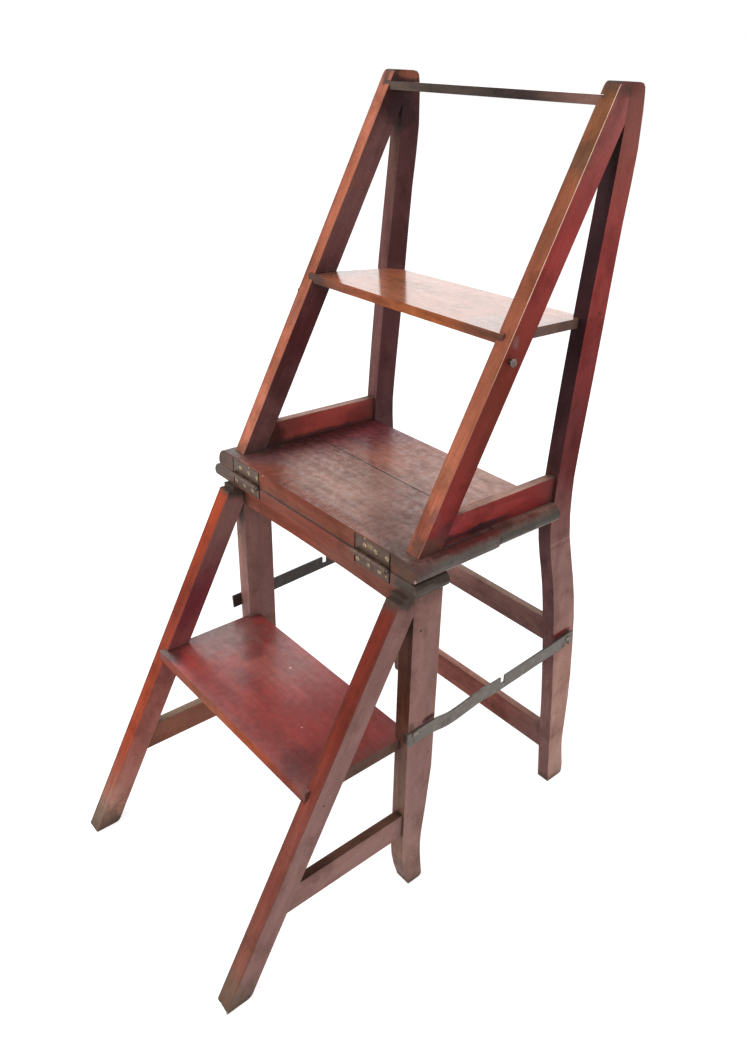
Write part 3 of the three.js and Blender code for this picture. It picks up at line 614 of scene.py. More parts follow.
def stained_wood(name, node, look, rubbed_share):
    """The old stained finish of one piece, with a share of it rubbed back to the wood."""
    material, tree, where, surface = new_material(name)
    here = where["Object"]
    low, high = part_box(node)
    span = high - low
    axis = max(range(3), key=lambda i: span[i])
    turned = place(tree, "ShaderNodeMapping", {
        "Vector": here, "Rotation": GRAIN_TURNS[look["grain"]],
    }).outputs["Vector"]
    grain = grouped(tree, "grain", {"Place": turned})
    sides = grouped(tree, "sides", {"Normal": where["Normal"]})
    parts = place(tree, "ShaderNodeSeparateXYZ", {0: here}).outputs
    run = sums(tree, "MULTIPLY_ADD", grain["Cloud"], COLOUR_SHIFT, parts[axis])
    middle_shift = COLOUR_SHIFT / 2
    along = place(tree, "ShaderNodeMapRange", {
        "Value": run, 1: low[axis] + middle_shift, 2: high[axis] + middle_shift,
    }).outputs["Result"]
    shown = shaded_run(tree, along, look["rest"])
    for side in ("Top", "Left", "Front", "Right"):
        if side.lower() in look:
            shown = mixed(tree, sides[side], shown, shaded_run(tree, along, look[side.lower()]))
    shown = spotted(tree, here, shown, look["spots"])

    torn = mottle(tree, here, *TORN_NOISE)["Fac"]
    dirt = near_edges(tree, parts[axis], low[axis], high[axis], torn, END_REACH, look["ends"])
    if look["border"]:
        sooty = near_edges(tree, parts[0], low[0], high[0], torn, BORDER_REACH, look["border"])
        dirt = sums(tree, "MAXIMUM", dirt, sums(tree, "MULTIPLY", sooty, sides["Front"]))
    seen_grain = sums(tree, "MAXIMUM", sides["Front"], sides["Top"])
    figure = stepped(tree, seen_grain, 0.0, 1.0, look["figure"] * SIDE_SHARE, look["figure"])
    stain = grouped(tree, "stain", {
        "Colour": shown, "Place": here, "Figure": figure, "Dirt": dirt,
        **{mark: grain[mark] for mark in GRAIN_MARKS},
    })
    worn = stain["Colour"]
    if rubbed_share:
        bared = grouped(tree, "rubbed", {
            "Place": turned, "Share": rubbed_share, "Scale": BARED_SCALE,
        })
        worn = marked(tree, bared["Mask"], BARED_SHARE, worn, colour("bare"))
    worn = lined(tree, here, worn, look["lines"])
    # Corners darkened towards soot: partly dirt, partly painted shade
    grime = stepped(tree, openness(tree, WOOD_CREVICE), *WOOD_GRIME_AND_SHADE_BOUNDS, 0.0, look["grime"])
    soiled = mixed(tree, grime, worn, colour("soot"))

    rough = stepped(tree, grain["Cloud"], 0.0, 1.0, *look["gloss"])
    rough = sums(tree, "MULTIPLY_ADD", stain["Film"], FILM_ROUGHNESS, rough)
    rough = sums(tree, "MULTIPLY_ADD", grime, CORNER_ROUGHNESS, rough)
    polish, polish_ior, polish_roughness = look["polish"]
    even = stepped(tree, torn, *POLISH_BOUNDS, polish, polish * look["patchy"])
    coat = sums(tree, "MULTIPLY", sides["Level"], even)
    relief = place(tree, "ShaderNodeBump", {
        "Height": grain["Relief"], "Strength": GRAIN_BUMP, "Distance": GRAIN_RELIEF,
    })
    dents = mottle(tree, here, *DENT_NOISE)["Fac"]
    uneven = place(tree, "ShaderNodeBump", {
        "Height": dents, "Strength": DENT_BUMP, "Distance": DENT_RELIEF,
        "Normal": relief.outputs["Normal"],
    })
    shader = place(tree, "ShaderNodeBsdfPrincipled", {
        "Base Color": soiled, "Roughness": rough, "Normal": uneven.outputs["Normal"],
        "Specular IOR Level": SHEEN, "Coat Weight": coat, "Coat IOR": polish_ior,
        "Coat Roughness": polish_roughness,
    })
    tree.links.new(shader.outputs["BSDF"], surface)
    return material


def wood(grain, rest, **own):
    """How one wooden piece looks: its grain, its colours, and what differs from plain wood."""
    return {**PLAIN_WOOD, "grain": grain, "rest": rest, **own}


def line_mark(node, lean, name, width, strength, start=BELOW_FLOOR):
    """The row of a light line up the right front arris of a stile that leans back."""
    low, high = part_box(node)
    corner = Vector((high.x, low.y, low.z)) / MM
    return (corner, (0.0, math.sin(lean), math.cos(lean)), name, width, strength, start)


def nail_holes(*centres):
    """The rows of small dark holes."""
    return tuple((centre, NAIL_HOLE_REACH, "soot", NAIL_HOLE_STRENGTH) for centre in centres)


# Where the polish is hazed, worn, stained or dirty, and where shade, a shadow or a reflection is
# painted: each patch's centre and reach in millimetres, its colour and its strength
SEAT_SPOTS_AND_SHADE = (
    ((-30, 25, 472), (95, 65, 20), "dun", 0.35),
    ((25, 130, 472), (110, 60, 20), "dun", 0.4),
    # Painted shade on the seat beside the left rail
    ((-135, 60, 472), (26, 130, 20), "maroon", 0.75),
    ((-20, -38, 472), (150, 15, 20), "mahogany", 0.7),
    ((-72, -28, 472), (40, 30, 20), "rust", 0.7),
    ((-165, -15, 466), (42, 70, 30), "smoke", 0.8),
    ((-60, 70, 472), (60, 30, 20), "rust", 0.35),
    ((115, 0, 472), (65, 55, 20), "walnut", 0.55),
    ((160, -34, 470), (40, 20, 30), "char", 0.7),
    ((192, 79, 461), (6, 5, 6), "soot", 1.0),
    ((186, 50, 474), (13, 140, 9), "wine", 0.85),
    ((188, 48, 473), (8, 60, 6), "oxblood", 0.5),
    ((188, 130, 473), (8, 40, 5), "oxblood", 0.4),
    ((192, -32, 466), (8, 22, 16), "damson", 0.6),
)
SEAT_JOINT_AND_HIGHLIGHT = (
    ((0, 76.3, 472.3), (1, 0, 0), "soot", 1.5, 0.95, BELOW_FLOOR),
    # A painted highlight along the bottom of the seat's right end
    ((190.5, 0, 455), (0, 1, 0), "silver", 2.4, 0.6, BELOW_FLOOR),
)
# A painted shadow in the gap between the seat and the cleat
SEAT_GAP_SHADOW = ((0, -42, 450), (300, 6, 2.1), "soot", 0.9)
LOWER_TREAD_SPOTS_AND_REFLECTIONS = (
    # The first four rows are painted reflections: mauve and thistle for the white room, garnet for
    # the leg
    ((-120, -80, 234), (48, 70, 12), "mauve", 0.6),
    ((-38, -60, 234), (66, 60, 12), "thistle", 0.35),
    ((-70, -75, 234), (16, 24, 12), "garnet", 0.6),
    ((-30, -108, 234), (32, 20, 12), "garnet", 0.5),
    ((132, -140, 234), (40, 44, 12), "garnet", 0.7),
    ((-134, -156, 236), (34, 24, 6), "maroon", 0.9),
    ((-16, -55, 234), (1.8, 1.8, 4), "cream", 1.0),
    ((83, -107, 234), (1.6, 1.6, 4), "cream", 1.0),
)
MIDDLE_TREAD_SPOTS = (
    ((135, 100, 679), (44, 40, 16), "walnut", 0.6),
    ((-135, 100, 679), (30, 38, 16), "umber", 0.6),
)
TOP_LEFT_SHADE_AND_PATCH = (
    # Painted shade on the inner faces at the top of the left frame
    ((-141.5, 208, 856), (8, 34, 26), "black_red", 0.9),
    ((-141.5, 220, 896), (8, 26, 7), "copper", 0.9),
)
STAY_GHOST = ((182, -3, 258), (7, 13, 5), "maroon", 1.0)
POST_GHOST = ((180, 225, 270), (7, 24, 6.5), "garnet", 1.0)
CLEAT_SPOTS = (
    SEAT_GAP_SHADOW,
    ((178, -42, 442), (28, 10, 14), "char", 0.9),
    ((-165, -42, 442), (36, 30, 20), "smoke", 0.7),
    ((193, -26, 442), (6, 26, 5), "silver", 0.3),
)
LEFT_LEG_SPOTS = (((-150, -34, 428), (26, 40, 30), "soot", 0.75),)
RIGHT_LEG_SPOTS = (
    STAY_GHOST,
    *nail_holes((182, -23, 385), (182, -1, 206)),
    ((178, -34, 240), (12, 6, 10), "soot", 0.85),
    ((182, -30, 258), (7, 7, 8), "umber", 0.7),
)
LEFT_LOWER_STILE_SPOTS = (
    ((-151, -42, 430), (30, 30, 16), "char", 0.95),
    ((-151, -272, 6), (40, 50, 44), "mud", 0.8),
)
RIGHT_LOWER_STILE_SPOTS = (
    ((171, -42, 430), (30, 30, 17), "char", 1.0),
    *nail_holes((182, -149, 219)),
    ((171, -272, 6), (40, 50, 44), "mud", 0.7),
)
LEFT_RAIL_SPOTS_AND_SHADOW = (
    ((-145, 70, 473), (8, 130, 6), "soot", 0.7),
    # A painted shadow on the rail beside the foot of the left upper stile
    ((-145, 12, 486), (8, 26, 30), "maroon", 0.8),
)
RIGHT_RAIL_SPOTS = (
    ((176, 62, 477), (8, 80, 5), "wine", 0.9),
    ((176, 66, 477), (8, 34, 7), "black_red", 0.85),
    ((176, -4, 478), (8, 45, 7), "black_red", 0.8),
    ((176, 100, 490), (8, 50, 7), "cherry", 0.7),
)
RIGHT_POST_SPOTS = (POST_GHOST, *nail_holes((180, 214, 684), (180, 200, 679), (180, 224, 255)))
RIGHT_POST_SCRATCHES = (
    ((180, 207, 415), (0, 1, 0.04), "dun", 0.7, 0.55, BELOW_FLOOR),
    ((180, 207, 409), (0, 1, 0.03), "wine", 1.0, 0.4, BELOW_FLOOR),
)
LEFT_UPPER_STILE_SPOTS = (
    ((-152, 206, 892), (9, 30, 16), "umber", 0.9),
    ((-151, 150, 775), (12, 30, 40), "amber", 0.5),
    ((-151, 60, 640), (12, 30, 40), "saddle", 0.5),
    *TOP_LEFT_SHADE_AND_PATCH,
)
RIGHT_UPPER_STILE_SPOTS = (
    ((170, -12, 496), (16, 24, 26), "rosewood", 0.55),
    ((176, -14, 480), (20, 26, 14), "umber", 0.7),
    ((180, 85, 673), (4, 6, 9), "plum", 0.7),
    ((165, 20, 590), (8, 40, 60), "copper", 0.5),
    ((171, 8, 548), (9, 14, 24), "sepia", 0.35),
    ((180, 12, 490), (6, 26, 16), "wine", 0.7),
    ((180, 34, 503), (6, 14, 12), "black_red", 0.6),
    ((176, -8, 512), (6, 12, 20), "grape", 0.5),
    ((171, 60, 690), (14, 24, 30), "sepia", 0.6),
    ((171, 112, 770), (14, 24, 34), "ochre", 0.6),
    ((171, 160, 835), (14, 20, 26), "sepia", 0.6),
    ((171, 210, 893), (20, 20, 10), "umber", 0.8),
)
# A rubbed arris with, higher up, a painted highlight along it
RIGHT_UPPER_STILE_WEAR_AND_HIGHLIGHT = (
    line_mark("upper_stile_right", UPPER_LEAN, "salmon", 0.5, 0.6),
    line_mark("upper_stile_right", UPPER_LEAN, "cream", 0.55, 0.9, 600),
)

# Where the brass of the right hinge still shines
SHINING_LEAF = (((120, -42, 464), (8, 6, 5), "yellow_brass", 0.7),)

# Each metal: colours of its body, rubbed edges and dirt, its roughness, how metallic it still is,
# how much of it is dirty, the scale of its rubbing, and its spots
METALS = {
    "old_brass": ("brass", "rubbed_brass", "brass_dirt", 0.45, 0.45, 0.3, 260.0, SHINING_LEAF),
    "hinge_barrel": ("pin", "rubbed_pin", "brass_dirt", 0.45, 0.5, 0.3, 260.0, ()),
    # Rubbed brass on the leaf screws, partly a painted highlight on their heads
    "leaf_screw": ("bright_screw", "rubbed_gold_glint", "brass_dirt", 0.3, 0.7, 0.05, 260.0, ()),
    # The dark rims of the screw heads: partly dirt, partly painted shade round each head
    "rim_dirt_and_shade": ("rim_dirt_and_shade", "rim_edge", "soot", 0.5, 0.4, 0.3, 260.0, ()),
    "old_iron": ("iron", "rubbed_iron", "iron_rust", 0.45, 0.5, 0.3, 90.0, ()),
    "dark_iron": ("dark_iron", "dark_edge", "iron_rust", 0.5, 0.4, 0.3, 90.0, ()),
    "old_steel": ("screw", "rubbed_screw", "iron_rust", 0.35, 0.7, 0.3, 260.0, ()),
}

# Each wooden piece, its colours from the low or left or front end to the other
WOODS = {
    "cleat": wood(
        "x", ["char", "walnut", "walnut", "soot"], right=["soot"], left=["char"],
        top=["mauve", "smoke", "smoke", "smoke"],
        front=["smoke", "saddle", "mahogany", "mahogany", "saddle", "smoke"],
        gloss=(0.25, 0.42), ends=0.6, grime=0.25, spots=CLEAT_SPOTS,
    ),
    "apron": wood("x", ["saddle"], front=["cinnamon", "mahogany", "saddle", "saddle"]),
    "lower_tread": wood(
        "x", ["garnet", "oxblood", "garnet"], right=["walnut"], left=["umber"],
        top=["cherry", "crimson", "cherry", "claret"],
        front=["sienna", "amber", "orange", "sienna"],
        rub=0.2, polish=(1.0, 1.75, 0.28), patchy=0.7, figure=0.5, spots=LOWER_TREAD_SPOTS_AND_REFLECTIONS,
    ),
    "low_rail_left": wood("y", ["rosewood"], right=["cinnamon"], top=["taupe"], left=["plum"]),
    "low_rail_right": wood(
        # Its right face's pale tone: partly faded finish, partly a painted reflection of the white
        # room
        "y", ["saddle"], right=["thistle"], top=["ash", "umber", "tobacco", "walnut"],
    ),
    "front_leg_left": wood(
        "z", ["grape", "tobacco", "grape"], right=["mauve"], left=["plum"],
        front=["ash", "ash", "mauve", "fawn"], ends=0.6, spots=LEFT_LEG_SPOTS,
    ),
    "front_leg_right": wood(
        # Its right face's pale tones: partly faded finish, partly a painted reflection of the white
        # room
        "z", ["grape", "tobacco", "grape"], right=["haze", "mauve", "thistle", "thistle"],
        front=["walnut", "walnut", "cocoa", "tobacco"], spots=RIGHT_LEG_SPOTS,
    ),
    "lower_stile_left": wood(
        "lower_stile", ["grape", "tobacco", "grape"], left=["plum"],
        right=["blush", "salmon", "burgundy", "mauve"], front=["fawn", "flame", "sienna", "flame"],
        rub=0.5, border=0.5, ends=0.6, grime=0.3, spots=LEFT_LOWER_STILE_SPOTS,
    ),
    "lower_stile_right": wood(
        # Its right face's pale tone: partly faded finish, partly a painted reflection of the white
        # room
        "lower_stile", ["grape", "tobacco", "grape"], right=["mauve"], left=["garnet"],
        front=["saddle", "rosewood", "brick", "brick"],
        rub=0.5, border=0.5, ends=0.6, grime=0.3, spots=RIGHT_LOWER_STILE_SPOTS,
    ),
    "seat_front_plank": wood(
        "x", ["chestnut", "mahogany", "saddle"], right=["zinc"], left=["char"],
        top=["wine", "grape", "fawn", "haze", "mauve", "mauve"],
        front=["tobacco", "chestnut", "chestnut", "chestnut", "chestnut", "tobacco"],
        polish=(0.8, 1.7, 0.3), patchy=0.2, spots=(*SEAT_SPOTS_AND_SHADE, SEAT_GAP_SHADOW), lines=SEAT_JOINT_AND_HIGHLIGHT,
    ),
    "seat_rear_plank": wood(
        "x", ["chestnut", "mahogany", "saddle"], right=["flint"], left=["char"],
        top=["maroon", "burgundy", "clay", "dun", "dun", "haze"],
        polish=(0.8, 1.7, 0.3), patchy=0.3, spots=SEAT_SPOTS_AND_SHADE, lines=SEAT_JOINT_AND_HIGHLIGHT,
    ),
    "seat_rail_left": wood(
        "y", ["garnet"], right=["redwood", "rose", "rose", "claret"],
        top=["blossom", "shell", "haze", "walnut"], spots=LEFT_RAIL_SPOTS_AND_SHADOW,
    ),
    "seat_rail_right": wood(
        "y", ["garnet"], right=["madder", "cherry", "oxblood", "ruby"],
        top=["fawn", "shell", "shell", "fawn", "ash"], spots=RIGHT_RAIL_SPOTS,
    ),
    "middle_tread": wood(
        "x", ["chestnut"], right=["ash"], top=["copper", "honey", "honey", "honey"],
        front=["smoke", "amber", "honey", "chestnut"],
        polish=(1.0, 3.2, 0.14), patchy=0.85, figure=1.0, spots=MIDDLE_TREAD_SPOTS,
    ),
    "top_tread": wood(
        "x", ["tobacco"], top=["walnut", "rosewood", "walnut"],
        front=["smoke", "char", "soot", "ash"], polish=(1.0, 3.2, 0.1), patchy=0.9, ends=0.0,
    ),
    "upper_back_rail": wood(
        "x", ["saddle"], front=["mauve", "mauve", "thistle", "mauve", "plum", "plum"],
        top=["shell", "bone", "bone"],
    ),
    "lower_back_rail": wood(
        "x", ["saddle"], front=["redwood", "redwood", "redwood", "plum"],
        top=["blush", "blush", "dun", "fawn"],
    ),
    "rear_post_left": wood(
        "z", ["maroon"], right=["bark", "bark", "damson", "bark"], left=["plum", "wine", "plum"],
        front=["tobacco", "tobacco", "grape", "grape", "tobacco"], ends=0.3, spots=TOP_LEFT_SHADE_AND_PATCH,
    ),
    "rear_post_right": wood(
        "z", ["grape", "tobacco", "grape"],
        # Its right face's pale tones: partly faded finish, partly a painted reflection of the white
        # room
        right=["shell", "dun", "thistle", "garnet", "cherry", "redwood"],
        front=["plum", "grape", "black_red", "black_red"], ends=0.3,
        spots=RIGHT_POST_SPOTS, lines=RIGHT_POST_SCRATCHES,
    ),
    "upper_stile_left": wood(
        "upper_stile", ["maroon"], right=["grape", "wine", "grape", "maroon"], left=["plum"],
        front=["peach", "copper", "copper", "peach"],
        rub=0.5, border=0.3, figure=1.0, spots=LEFT_UPPER_STILE_SPOTS,
    ),
    "upper_stile_right": wood(
        "upper_stile", ["maroon"], right=["oxblood", "brick", "cherry", "dusty_rose"],
        left=["wine"], front=["copper", "amber", "amber", "ochre"],
        rub=0.3, border=0.35, spots=RIGHT_UPPER_STILE_SPOTS, lines=RIGHT_UPPER_STILE_WEAR_AND_HIGHLIGHT,
    ),
}


# Shapes: smooth arrises on every piece that keeps its solid

def smoothing_group():
    """Faces shaded smooth, with the edges over an angle kept sharp."""
    tree = bpy.data.node_groups.new("smooth_faces", "GeometryNodeTree")
    tree.interface.new_socket("Geometry", in_out="INPUT", socket_type="NodeSocketGeometry")
    tree.interface.new_socket("Geometry", in_out="OUTPUT", socket_type="NodeSocketGeometry")
    entry = tree.nodes.new("NodeGroupInput").outputs["Geometry"]
    leave = tree.nodes.new("NodeGroupOutput").inputs["Geometry"]
    angle = place(tree, "GeometryNodeInputMeshEdgeAngle").outputs["Unsigned Angle"]
    sharp = sums(tree, "GREATER_THAN", angle, SHARP_ANGLE)
    faces = place(tree, "GeometryNodeSetShadeSmooth", {"Geometry": entry, "Shade Smooth": True})
    edges = place(tree, "GeometryNodeSetShadeSmooth", {
        "Geometry": faces.outputs["Geometry"], "Selection": sharp, "Shade Smooth": False,
    }, domain="EDGE")
    tree.links.new(edges.outputs["Geometry"], leave)
    return tree


SMOOTHING = smoothing_group()


def smoothed(piece):
    """A piece shaded smooth, its flat faces kept even."""
    smooth = piece.modifiers.new("smooth_faces", "NODES")
    smooth.node_group = SMOOTHING
    weighted = piece.modifiers.new("even_shading", "WEIGHTED_NORMAL")
    weighted.keep_sharp = True


def soften(piece, width, arris_slot=-1):
    """Flat faces joined, arrises rounded and the shading made smooth."""
    joined = piece.modifiers.new("flat_faces", "DECIMATE")
    joined.decimate_type = "DISSOLVE"
    joined.angle_limit = FLAT_ANGLE
    rounded = piece.modifiers.new("arrises", "BEVEL")
    rounded.width = width
    rounded.segments = ARRIS_STEPS
    rounded.limit_method = "ANGLE"
    rounded.angle_limit = ARRIS_ANGLE
    rounded.material = arris_slot
    smoothed(piece)


def new_piece(name, mesh, finishes, body):
    """A piece of the scene's own, which rides on a body."""
    piece = bpy.data.objects.new(name, mesh)
    scene.collection.objects.link(piece)
    mesh.materials.clear()
    for finish in finishes:
        mesh.materials.append(finish)
    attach(piece, body)
    return piece


def finished_mesh(bm, name):
    """A new mesh with the faces of a bmesh, which is freed."""
    mesh = bpy.data.meshes.new(name)
    bm.to_mesh(mesh)
    bm.free()
    return mesh


def turned_mesh(name, profile, steps):
    """A solid turned round Z from its half outline: points of radius and height."""
    bm = bmesh.new()
    chain = [bm.verts.new((radius, 0.0, height)) for radius, height in profile]
    links = [bm.edges.new(pair) for pair in zip(chain, chain[1:])]
    bmesh.ops.spin(
        bm, geom=chain + links, cent=(0, 0, 0), axis=(0, 0, 1), dvec=(0, 0, 0),
        angle=math.tau, steps=steps, use_merge=True,
    )
    bmesh.ops.remove_doubles(bm, verts=bm.verts, dist=WELD_REACH)
    bmesh.ops.recalc_face_normals(bm, faces=bm.faces)
    return finished_mesh(bm, name)


def block_mesh(low, high):
    """A block between two corners, for cutting with."""
    bm = bmesh.new()
    bmesh.ops.create_cube(bm, size=1.0)
    middle = (Vector(low) + Vector(high)) / 2
    size = Vector(high) - Vector(low)
    bmesh.ops.scale(bm, vec=size, verts=bm.verts)
    bmesh.ops.translate(bm, vec=middle, verts=bm.verts)
    return finished_mesh(bm, "cutter")


def carved_mesh(mesh, cutters):
    """A mesh with other meshes' solids cut out of it."""
    blank = bpy.data.objects.new("blank", mesh)
    helpers = [blank]
    for cutter in cutters:
        tool = bpy.data.objects.new("tool", cutter)
        helpers.append(tool)
        cut = blank.modifiers.new("cut", "BOOLEAN")
        cut.operation = "DIFFERENCE"
        cut.solver = "EXACT"
        cut.object = tool
    for helper in helpers:
        scene.collection.objects.link(helper)
    bpy.context.view_layer.update()
    graph = bpy.context.evaluated_depsgraph_get()
    result = bpy.data.meshes.new_from_object(blank.evaluated_get(graph))
    for helper in helpers:
        bpy.data.objects.remove(helper)
    return result


def broken_foot(node):
    """A copy of a lower stile with splinters broken off the front edge of its foot."""
    low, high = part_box(node)
    mesh = nodes[node].data.copy()
    bm = bmesh.new()
    bm.from_mesh(mesh)
    bmesh.ops.remove_doubles(bm, verts=bm.verts, dist=WELD_REACH)
    bm.to_mesh(mesh)
    bm.free()
    chance = random.Random(SPLINTER_SEED)
    width = (high.x - low.x) / SPLINTERS
    cutters = []
    for i in range(SPLINTERS):
        depth = chance.uniform(*SPLINTER_SHARES) * SPLINTER_DEPTH
        rise = chance.uniform(*SPLINTER_SHARES) * SPLINTER_RISE
        start = low.x + i * width
        cutters.append(block_mesh(
            (start - CUT_OVERLAP, low.y - depth, low.z - rise),
            (start + width, low.y + depth, low.z + rise),
        ))
    worn = carved_mesh(mesh, cutters)
    return new_piece(node + "_worn", worn, [], body_of(nodes[node])[0])


def dress_wood():
    """Every timber gets its stain and its worn arrises."""
    for name, look in WOODS.items():
        piece = nodes[name]
        if name == "lower_stile_right":
            piece = broken_foot(name)
            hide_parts(name)
        arris = TREAD_ARRIS if "tread" in name else TIMBER_ARRIS
        piece.data.materials.clear()
        piece.data.materials.append(stained_wood(name + "_finish", name, look, 0.0))
        piece.data.materials.append(stained_wood(name + "_arris", name, look, look["rub"]))
        soften(piece, arris, 1)


# Fittings

def worn_metal(name, base, edge, dirt, gloss, metal_share, dirty_share, scale, spots):
    """Old metal: a dull body, rubbed bright patches and dirt in the hollows."""
    material, tree, where, surface = new_material(name)
    here = where["Object"]
    rubbed = grouped(tree, "rubbed", {"Place": here, "Share": RUBBED_SHARE, "Scale": scale})
    stain = grouped(tree, "rubbed", {
        "Place": here, "Share": dirty_share, "Scale": scale / DIRT_BREADTH,
    })
    toned = marked(tree, rubbed["Mask"], EDGE_TONE_SHARE, colour(base), colour(edge))
    toned = spotted(tree, here, toned, spots)
    hidden = stepped(tree, openness(tree, METAL_CREVICE), *METAL_GRIME_BOUNDS)
    dull = sums(tree, "MAXIMUM", hidden, sums(tree, "MULTIPLY", stain["Mask"], DIRT_TONE_SHARE))
    shown = mixed(tree, dull, toned, colour(dirt))
    rough = stepped(tree, dull, 0.0, 1.0, gloss, gloss + DIRT_ROUGHNESS)
    pits = mottle(tree, here, *PIT_NOISE)["Fac"]
    relief = place(tree, "ShaderNodeBump", {
        "Height": pits, "Strength": PIT_BUMP, "Distance": PIT_RELIEF,
    })
    shader = place(tree, "ShaderNodeBsdfPrincipled", {
        "Base Color": shown, "Roughness": rough, "Normal": relief.outputs["Normal"],
        "Metallic": stepped(tree, dull, 0.0, 1.0, metal_share, DIRTY_METAL_SHARE),
    })
    tree.links.new(shader.outputs["BSDF"], surface)
    return material


def crowned(radius, height, shares):
    """Outline of a head, given as shares of its radius and its height."""
    return [(radius * across, height * up) for across, up in shares]


def leaf_screw_profile(length):
    """Half outline of a countersunk screw, its head's rim at height 0 and its point below."""
    return [
        (0.0, -length), (LEAF_SHANK, LEAF_SHANK - length), (LEAF_SHANK, -LEAF_HEAD_DEPTH),
        *crowned(LEAF_HEAD, LEAF_CROWN, LEAF_HEAD_SHARES),
    ]


def stay_screw_profile(length):
    """Half outline of a round-headed screw, the top of its head at height 0."""
    return [
        (0.0, -length), (STAY_SHANK, -length), (STAY_SHANK, -STAY_HEAD_HEIGHT),
        *crowned(STAY_HEAD, STAY_HEAD_HEIGHT, STAY_HEAD_SHARES),
    ]


def rimmed(mesh, reach):
    """The faces of a turned mesh further than a reach from its axis get the second material."""
    for face in mesh.polygons:
        face.material_index = int(math.hypot(face.center.x, face.center.y) > reach)


def slotted_screw(node, profile, head, top, turn, slant, finishes):
    """A slotted screw in place of a node: its axis turned to point out of the face it stands in."""
    low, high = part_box(node)
    ends = {-1: low, 0: (low + high) / 2, 1: high}
    reach = head * SLOT_LENGTH_SHARE
    slot_block = block_mesh(
        (-reach, -SLOT_WIDTH / 2, top - SLOT_DEPTH), (reach, SLOT_WIDTH / 2, top + head),
    )
    mesh = carved_mesh(turned_mesh(node + "_slotted", profile, SCREW_STEPS), [slot_block])
    rimmed(mesh, head * CROWN_SHARE)
    stands = turn @ Vector((0.0, 0.0, 1.0))
    face = Vector([ends[round(stands[i])][i] for i in range(3)])
    mesh.transform(Matrix.Translation(face) @ turn.to_4x4() @ Matrix.Rotation(slant, 4, "Z"))
    screw = new_piece(node + "_slotted", mesh, finishes, body_of(nodes[node])[0])
    smoothed(screw)
    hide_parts(node)


def add_screws(leaf_finish, stay_finish):
    """The slotted screws of the hinges and the stays, each slot left at its own slant."""
    chance = random.Random(SLANT_SEED)
    outward = {-1: Matrix.Rotation(-math.pi / 2, 3, "Y"), 1: Matrix.Rotation(math.pi / 2, 3, "Y")}
    forward = Matrix.Rotation(math.pi / 2, 3, "X")
    for side, sign in SIDES:
        for leaf in ("upper", "lower"):
            for place_in_row in (1, 2, 3):
                node = f"hinge_{leaf}_screw_{side}_{place_in_row}"
                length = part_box(node)[1].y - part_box(node)[0].y
                slant = chance.uniform(0.0, math.pi)
                profile = leaf_screw_profile(length)
                slotted_screw(node, profile, LEAF_HEAD, LEAF_CROWN, forward, slant, leaf_finish)
        for kind in ("stay_pivot", "post_hook", "stile_hook"):
            node = f"{kind}_screw_{side}"
            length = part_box(node)[1].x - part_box(node)[0].x
            slant = chance.uniform(0.0, math.pi)
            profile = stay_screw_profile(length)
            slotted_screw(node, profile, STAY_HEAD, 0.0, outward[sign], slant, stay_finish)


def add_nail(name, across, up, carrier, finish):
    """A small brass nail in the front of a board."""
    mesh = turned_mesh(name, [
        (0.0, -NAIL_DEPTH), (NAIL_SHANK, -NAIL_DEPTH), (NAIL_SHANK, 0.0),
        *crowned(NAIL_HEAD, NAIL_PROUD, NAIL_HEAD_SHARES),
    ], NAIL_STEPS)
    face = Vector((across * MM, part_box(carrier)[0].y, up * MM))
    mesh.transform(Matrix.Translation(face) @ Matrix.Rotation(math.pi / 2, 4, "X"))
    nail = new_piece(name, mesh, [finish], body_of(nodes[carrier])[0])
    smoothed(nail)


def dress_metal():
    """Every fitting gets its metal, and the screws and nails get their heads."""
    made = {name: worn_metal(name, *look) for name, look in METALS.items()}
    finishes = {
        "brass": made["old_brass"], "iron": made["old_iron"], "screw_steel": made["old_steel"],
    }
    own = {
        "stay_left": made["dark_iron"], "hinge_pin_left": made["hinge_barrel"],
        "hinge_pin_right": made["hinge_barrel"],
    }
    for subpart in frame["record"]["subparts"]:
        name = subpart["node"]
        finish = own.get(name, finishes.get(subpart["material_slot"]))
        if finish:
            nodes[name].data.materials.clear()
            nodes[name].data.materials.append(finish)
            soften(nodes[name], METAL_ARRIS)
    bright = made["leaf_screw"]
    # Each screw's rim takes the dark rim finish, partly painted shade
    add_screws([bright, made["rim_dirt_and_shade"]], [made["old_steel"], made["rim_dirt_and_shade"]])
    for number, (across, up) in enumerate(NAIL_PLACES, 1):
        add_nail(f"seat_nail_{number}", across, up, "seat_front_plank", bright)
    add_nail("hinge_brad", *BRAD_PLACE, "cleat", bright)


# Floor, light and camera

def add_floor():
    """A pale floor that shows white where it is lit, and keeps the ladder's shadow."""
    bm = bmesh.new()
    bmesh.ops.create_grid(bm, x_segments=2, y_segments=2, size=FLOOR_REACH)
    mesh = finished_mesh(bm, "floor")
    floor = bpy.data.objects.new("floor", mesh)
    scene.collection.objects.link(floor)
    material, tree, where, surface = new_material("white_floor")
    plain = place(tree, "ShaderNodeBsdfDiffuse", {"Color": FLOOR_TONE})
    seen = place(tree, "ShaderNodeLightPath").outputs
    glow = sums(tree, "MAXIMUM", seen["Is Camera Ray"], seen["Is Glossy Ray"])
    strength = sums(tree, "MULTIPLY", glow, FLOOR_GLOW)
    light = place(tree, "ShaderNodeEmission", {"Strength": strength})
    both = place(tree, "ShaderNodeAddShader", {0: plain.outputs[0], 1: light.outputs[0]})
    tree.links.new(both.outputs[0], surface)
    mesh.materials.append(material)


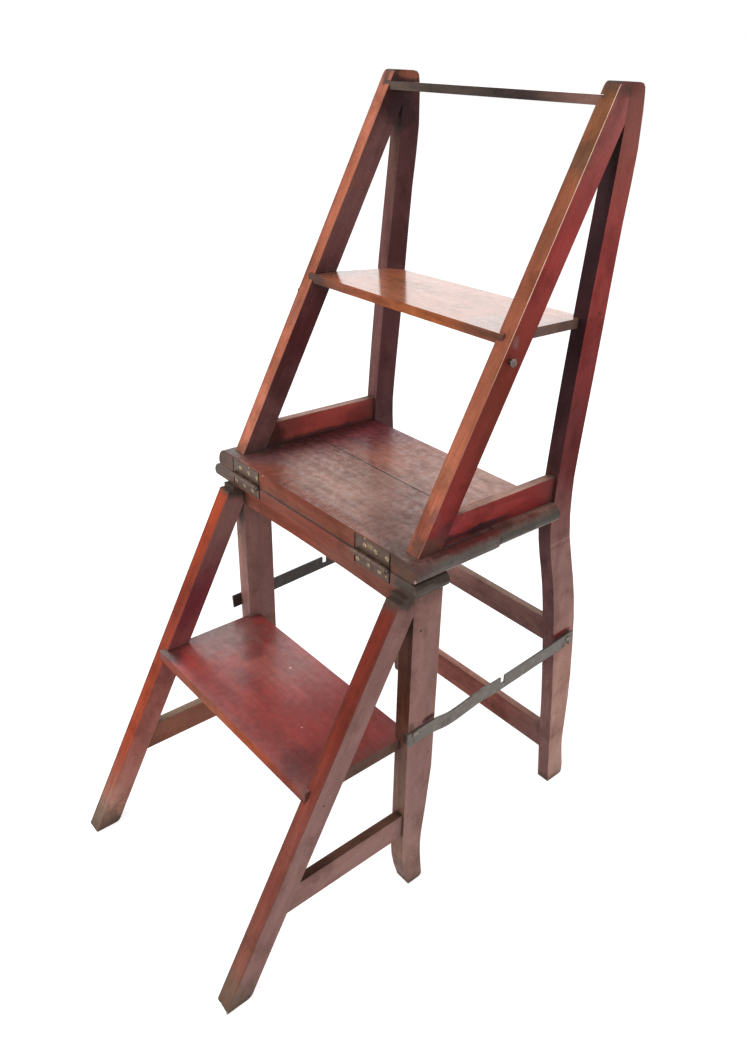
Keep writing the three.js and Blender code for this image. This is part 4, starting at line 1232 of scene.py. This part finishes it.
def add_world():
    """A white room, a little brighter in reflections."""
    world = bpy.data.worlds.new("white_room")
    scene.world = world
    world.use_nodes = True
    tree = world.node_tree
    tree.nodes.clear()
    seen = place(tree, "ShaderNodeLightPath").outputs
    plain = sums(tree, "MAXIMUM", seen["Is Camera Ray"], seen["Is Transmission Ray"])
    strength = sums(tree, "MULTIPLY_ADD", plain, SEEN_EXTRA, ROOM_STRENGTH)
    strength = sums(tree, "MULTIPLY_ADD", seen["Is Glossy Ray"], REFLECTED_EXTRA, strength)
    backdrop = place(tree, "ShaderNodeBackground", {
        "Color": (1.0, 1.0, 1.0, 1.0), "Strength": strength,
    })
    leave = place(tree, "ShaderNodeOutputWorld")
    tree.links.new(backdrop.outputs[0], leave.inputs["Surface"])


def add_lamp(name, stand, size, watts):
    """A square soft box aimed at the ladder."""
    data = bpy.data.lights.new(name, "AREA")
    data.shape = "SQUARE"
    data.size = size
    data.energy = watts
    lamp = bpy.data.objects.new(name, data)
    lamp.location = stand
    lamp.rotation_euler = (Vector(LAMP_AIM) - Vector(stand)).to_track_quat("-Z", "Y").to_euler()
    scene.collection.objects.link(lamp)


def add_camera():
    """The camera that took the photograph, fitted to the ladder's own edges."""
    ahead = Vector((
        -math.sin(TURN) * math.cos(TILT), math.cos(TURN) * math.cos(TILT), math.sin(TILT),
    ))
    level = Vector((math.cos(TURN), math.sin(TURN), 0.0))
    upright = level.cross(ahead)
    right = level * math.cos(LEAN) + upright * math.sin(LEAN)
    up = upright * math.cos(LEAN) - level * math.sin(LEAN)
    data = bpy.data.cameras.new("camera")
    data.sensor_width = SENSOR
    data.lens = FOCAL_PIXELS * SENSOR / PHOTO_HEIGHT
    data.shift_x = (PHOTO_WIDTH / 2 - AXIS_ACROSS) / PHOTO_HEIGHT
    data.shift_y = (AXIS_DOWN - PHOTO_HEIGHT / 2) / PHOTO_HEIGHT
    data.clip_end = FAR_CLIP
    camera = bpy.data.objects.new("camera", data)
    turn = Matrix((right, up, -ahead)).transposed().to_4x4()
    camera.matrix_world = Matrix.Translation(EYE) @ turn
    scene.collection.objects.link(camera)
    scene.camera = camera


dress_wood()
dress_metal()
add_floor()
add_world()
for lamp in LAMPS:
    add_lamp(*lamp)
add_camera()
scene.view_settings.view_transform = "Standard"
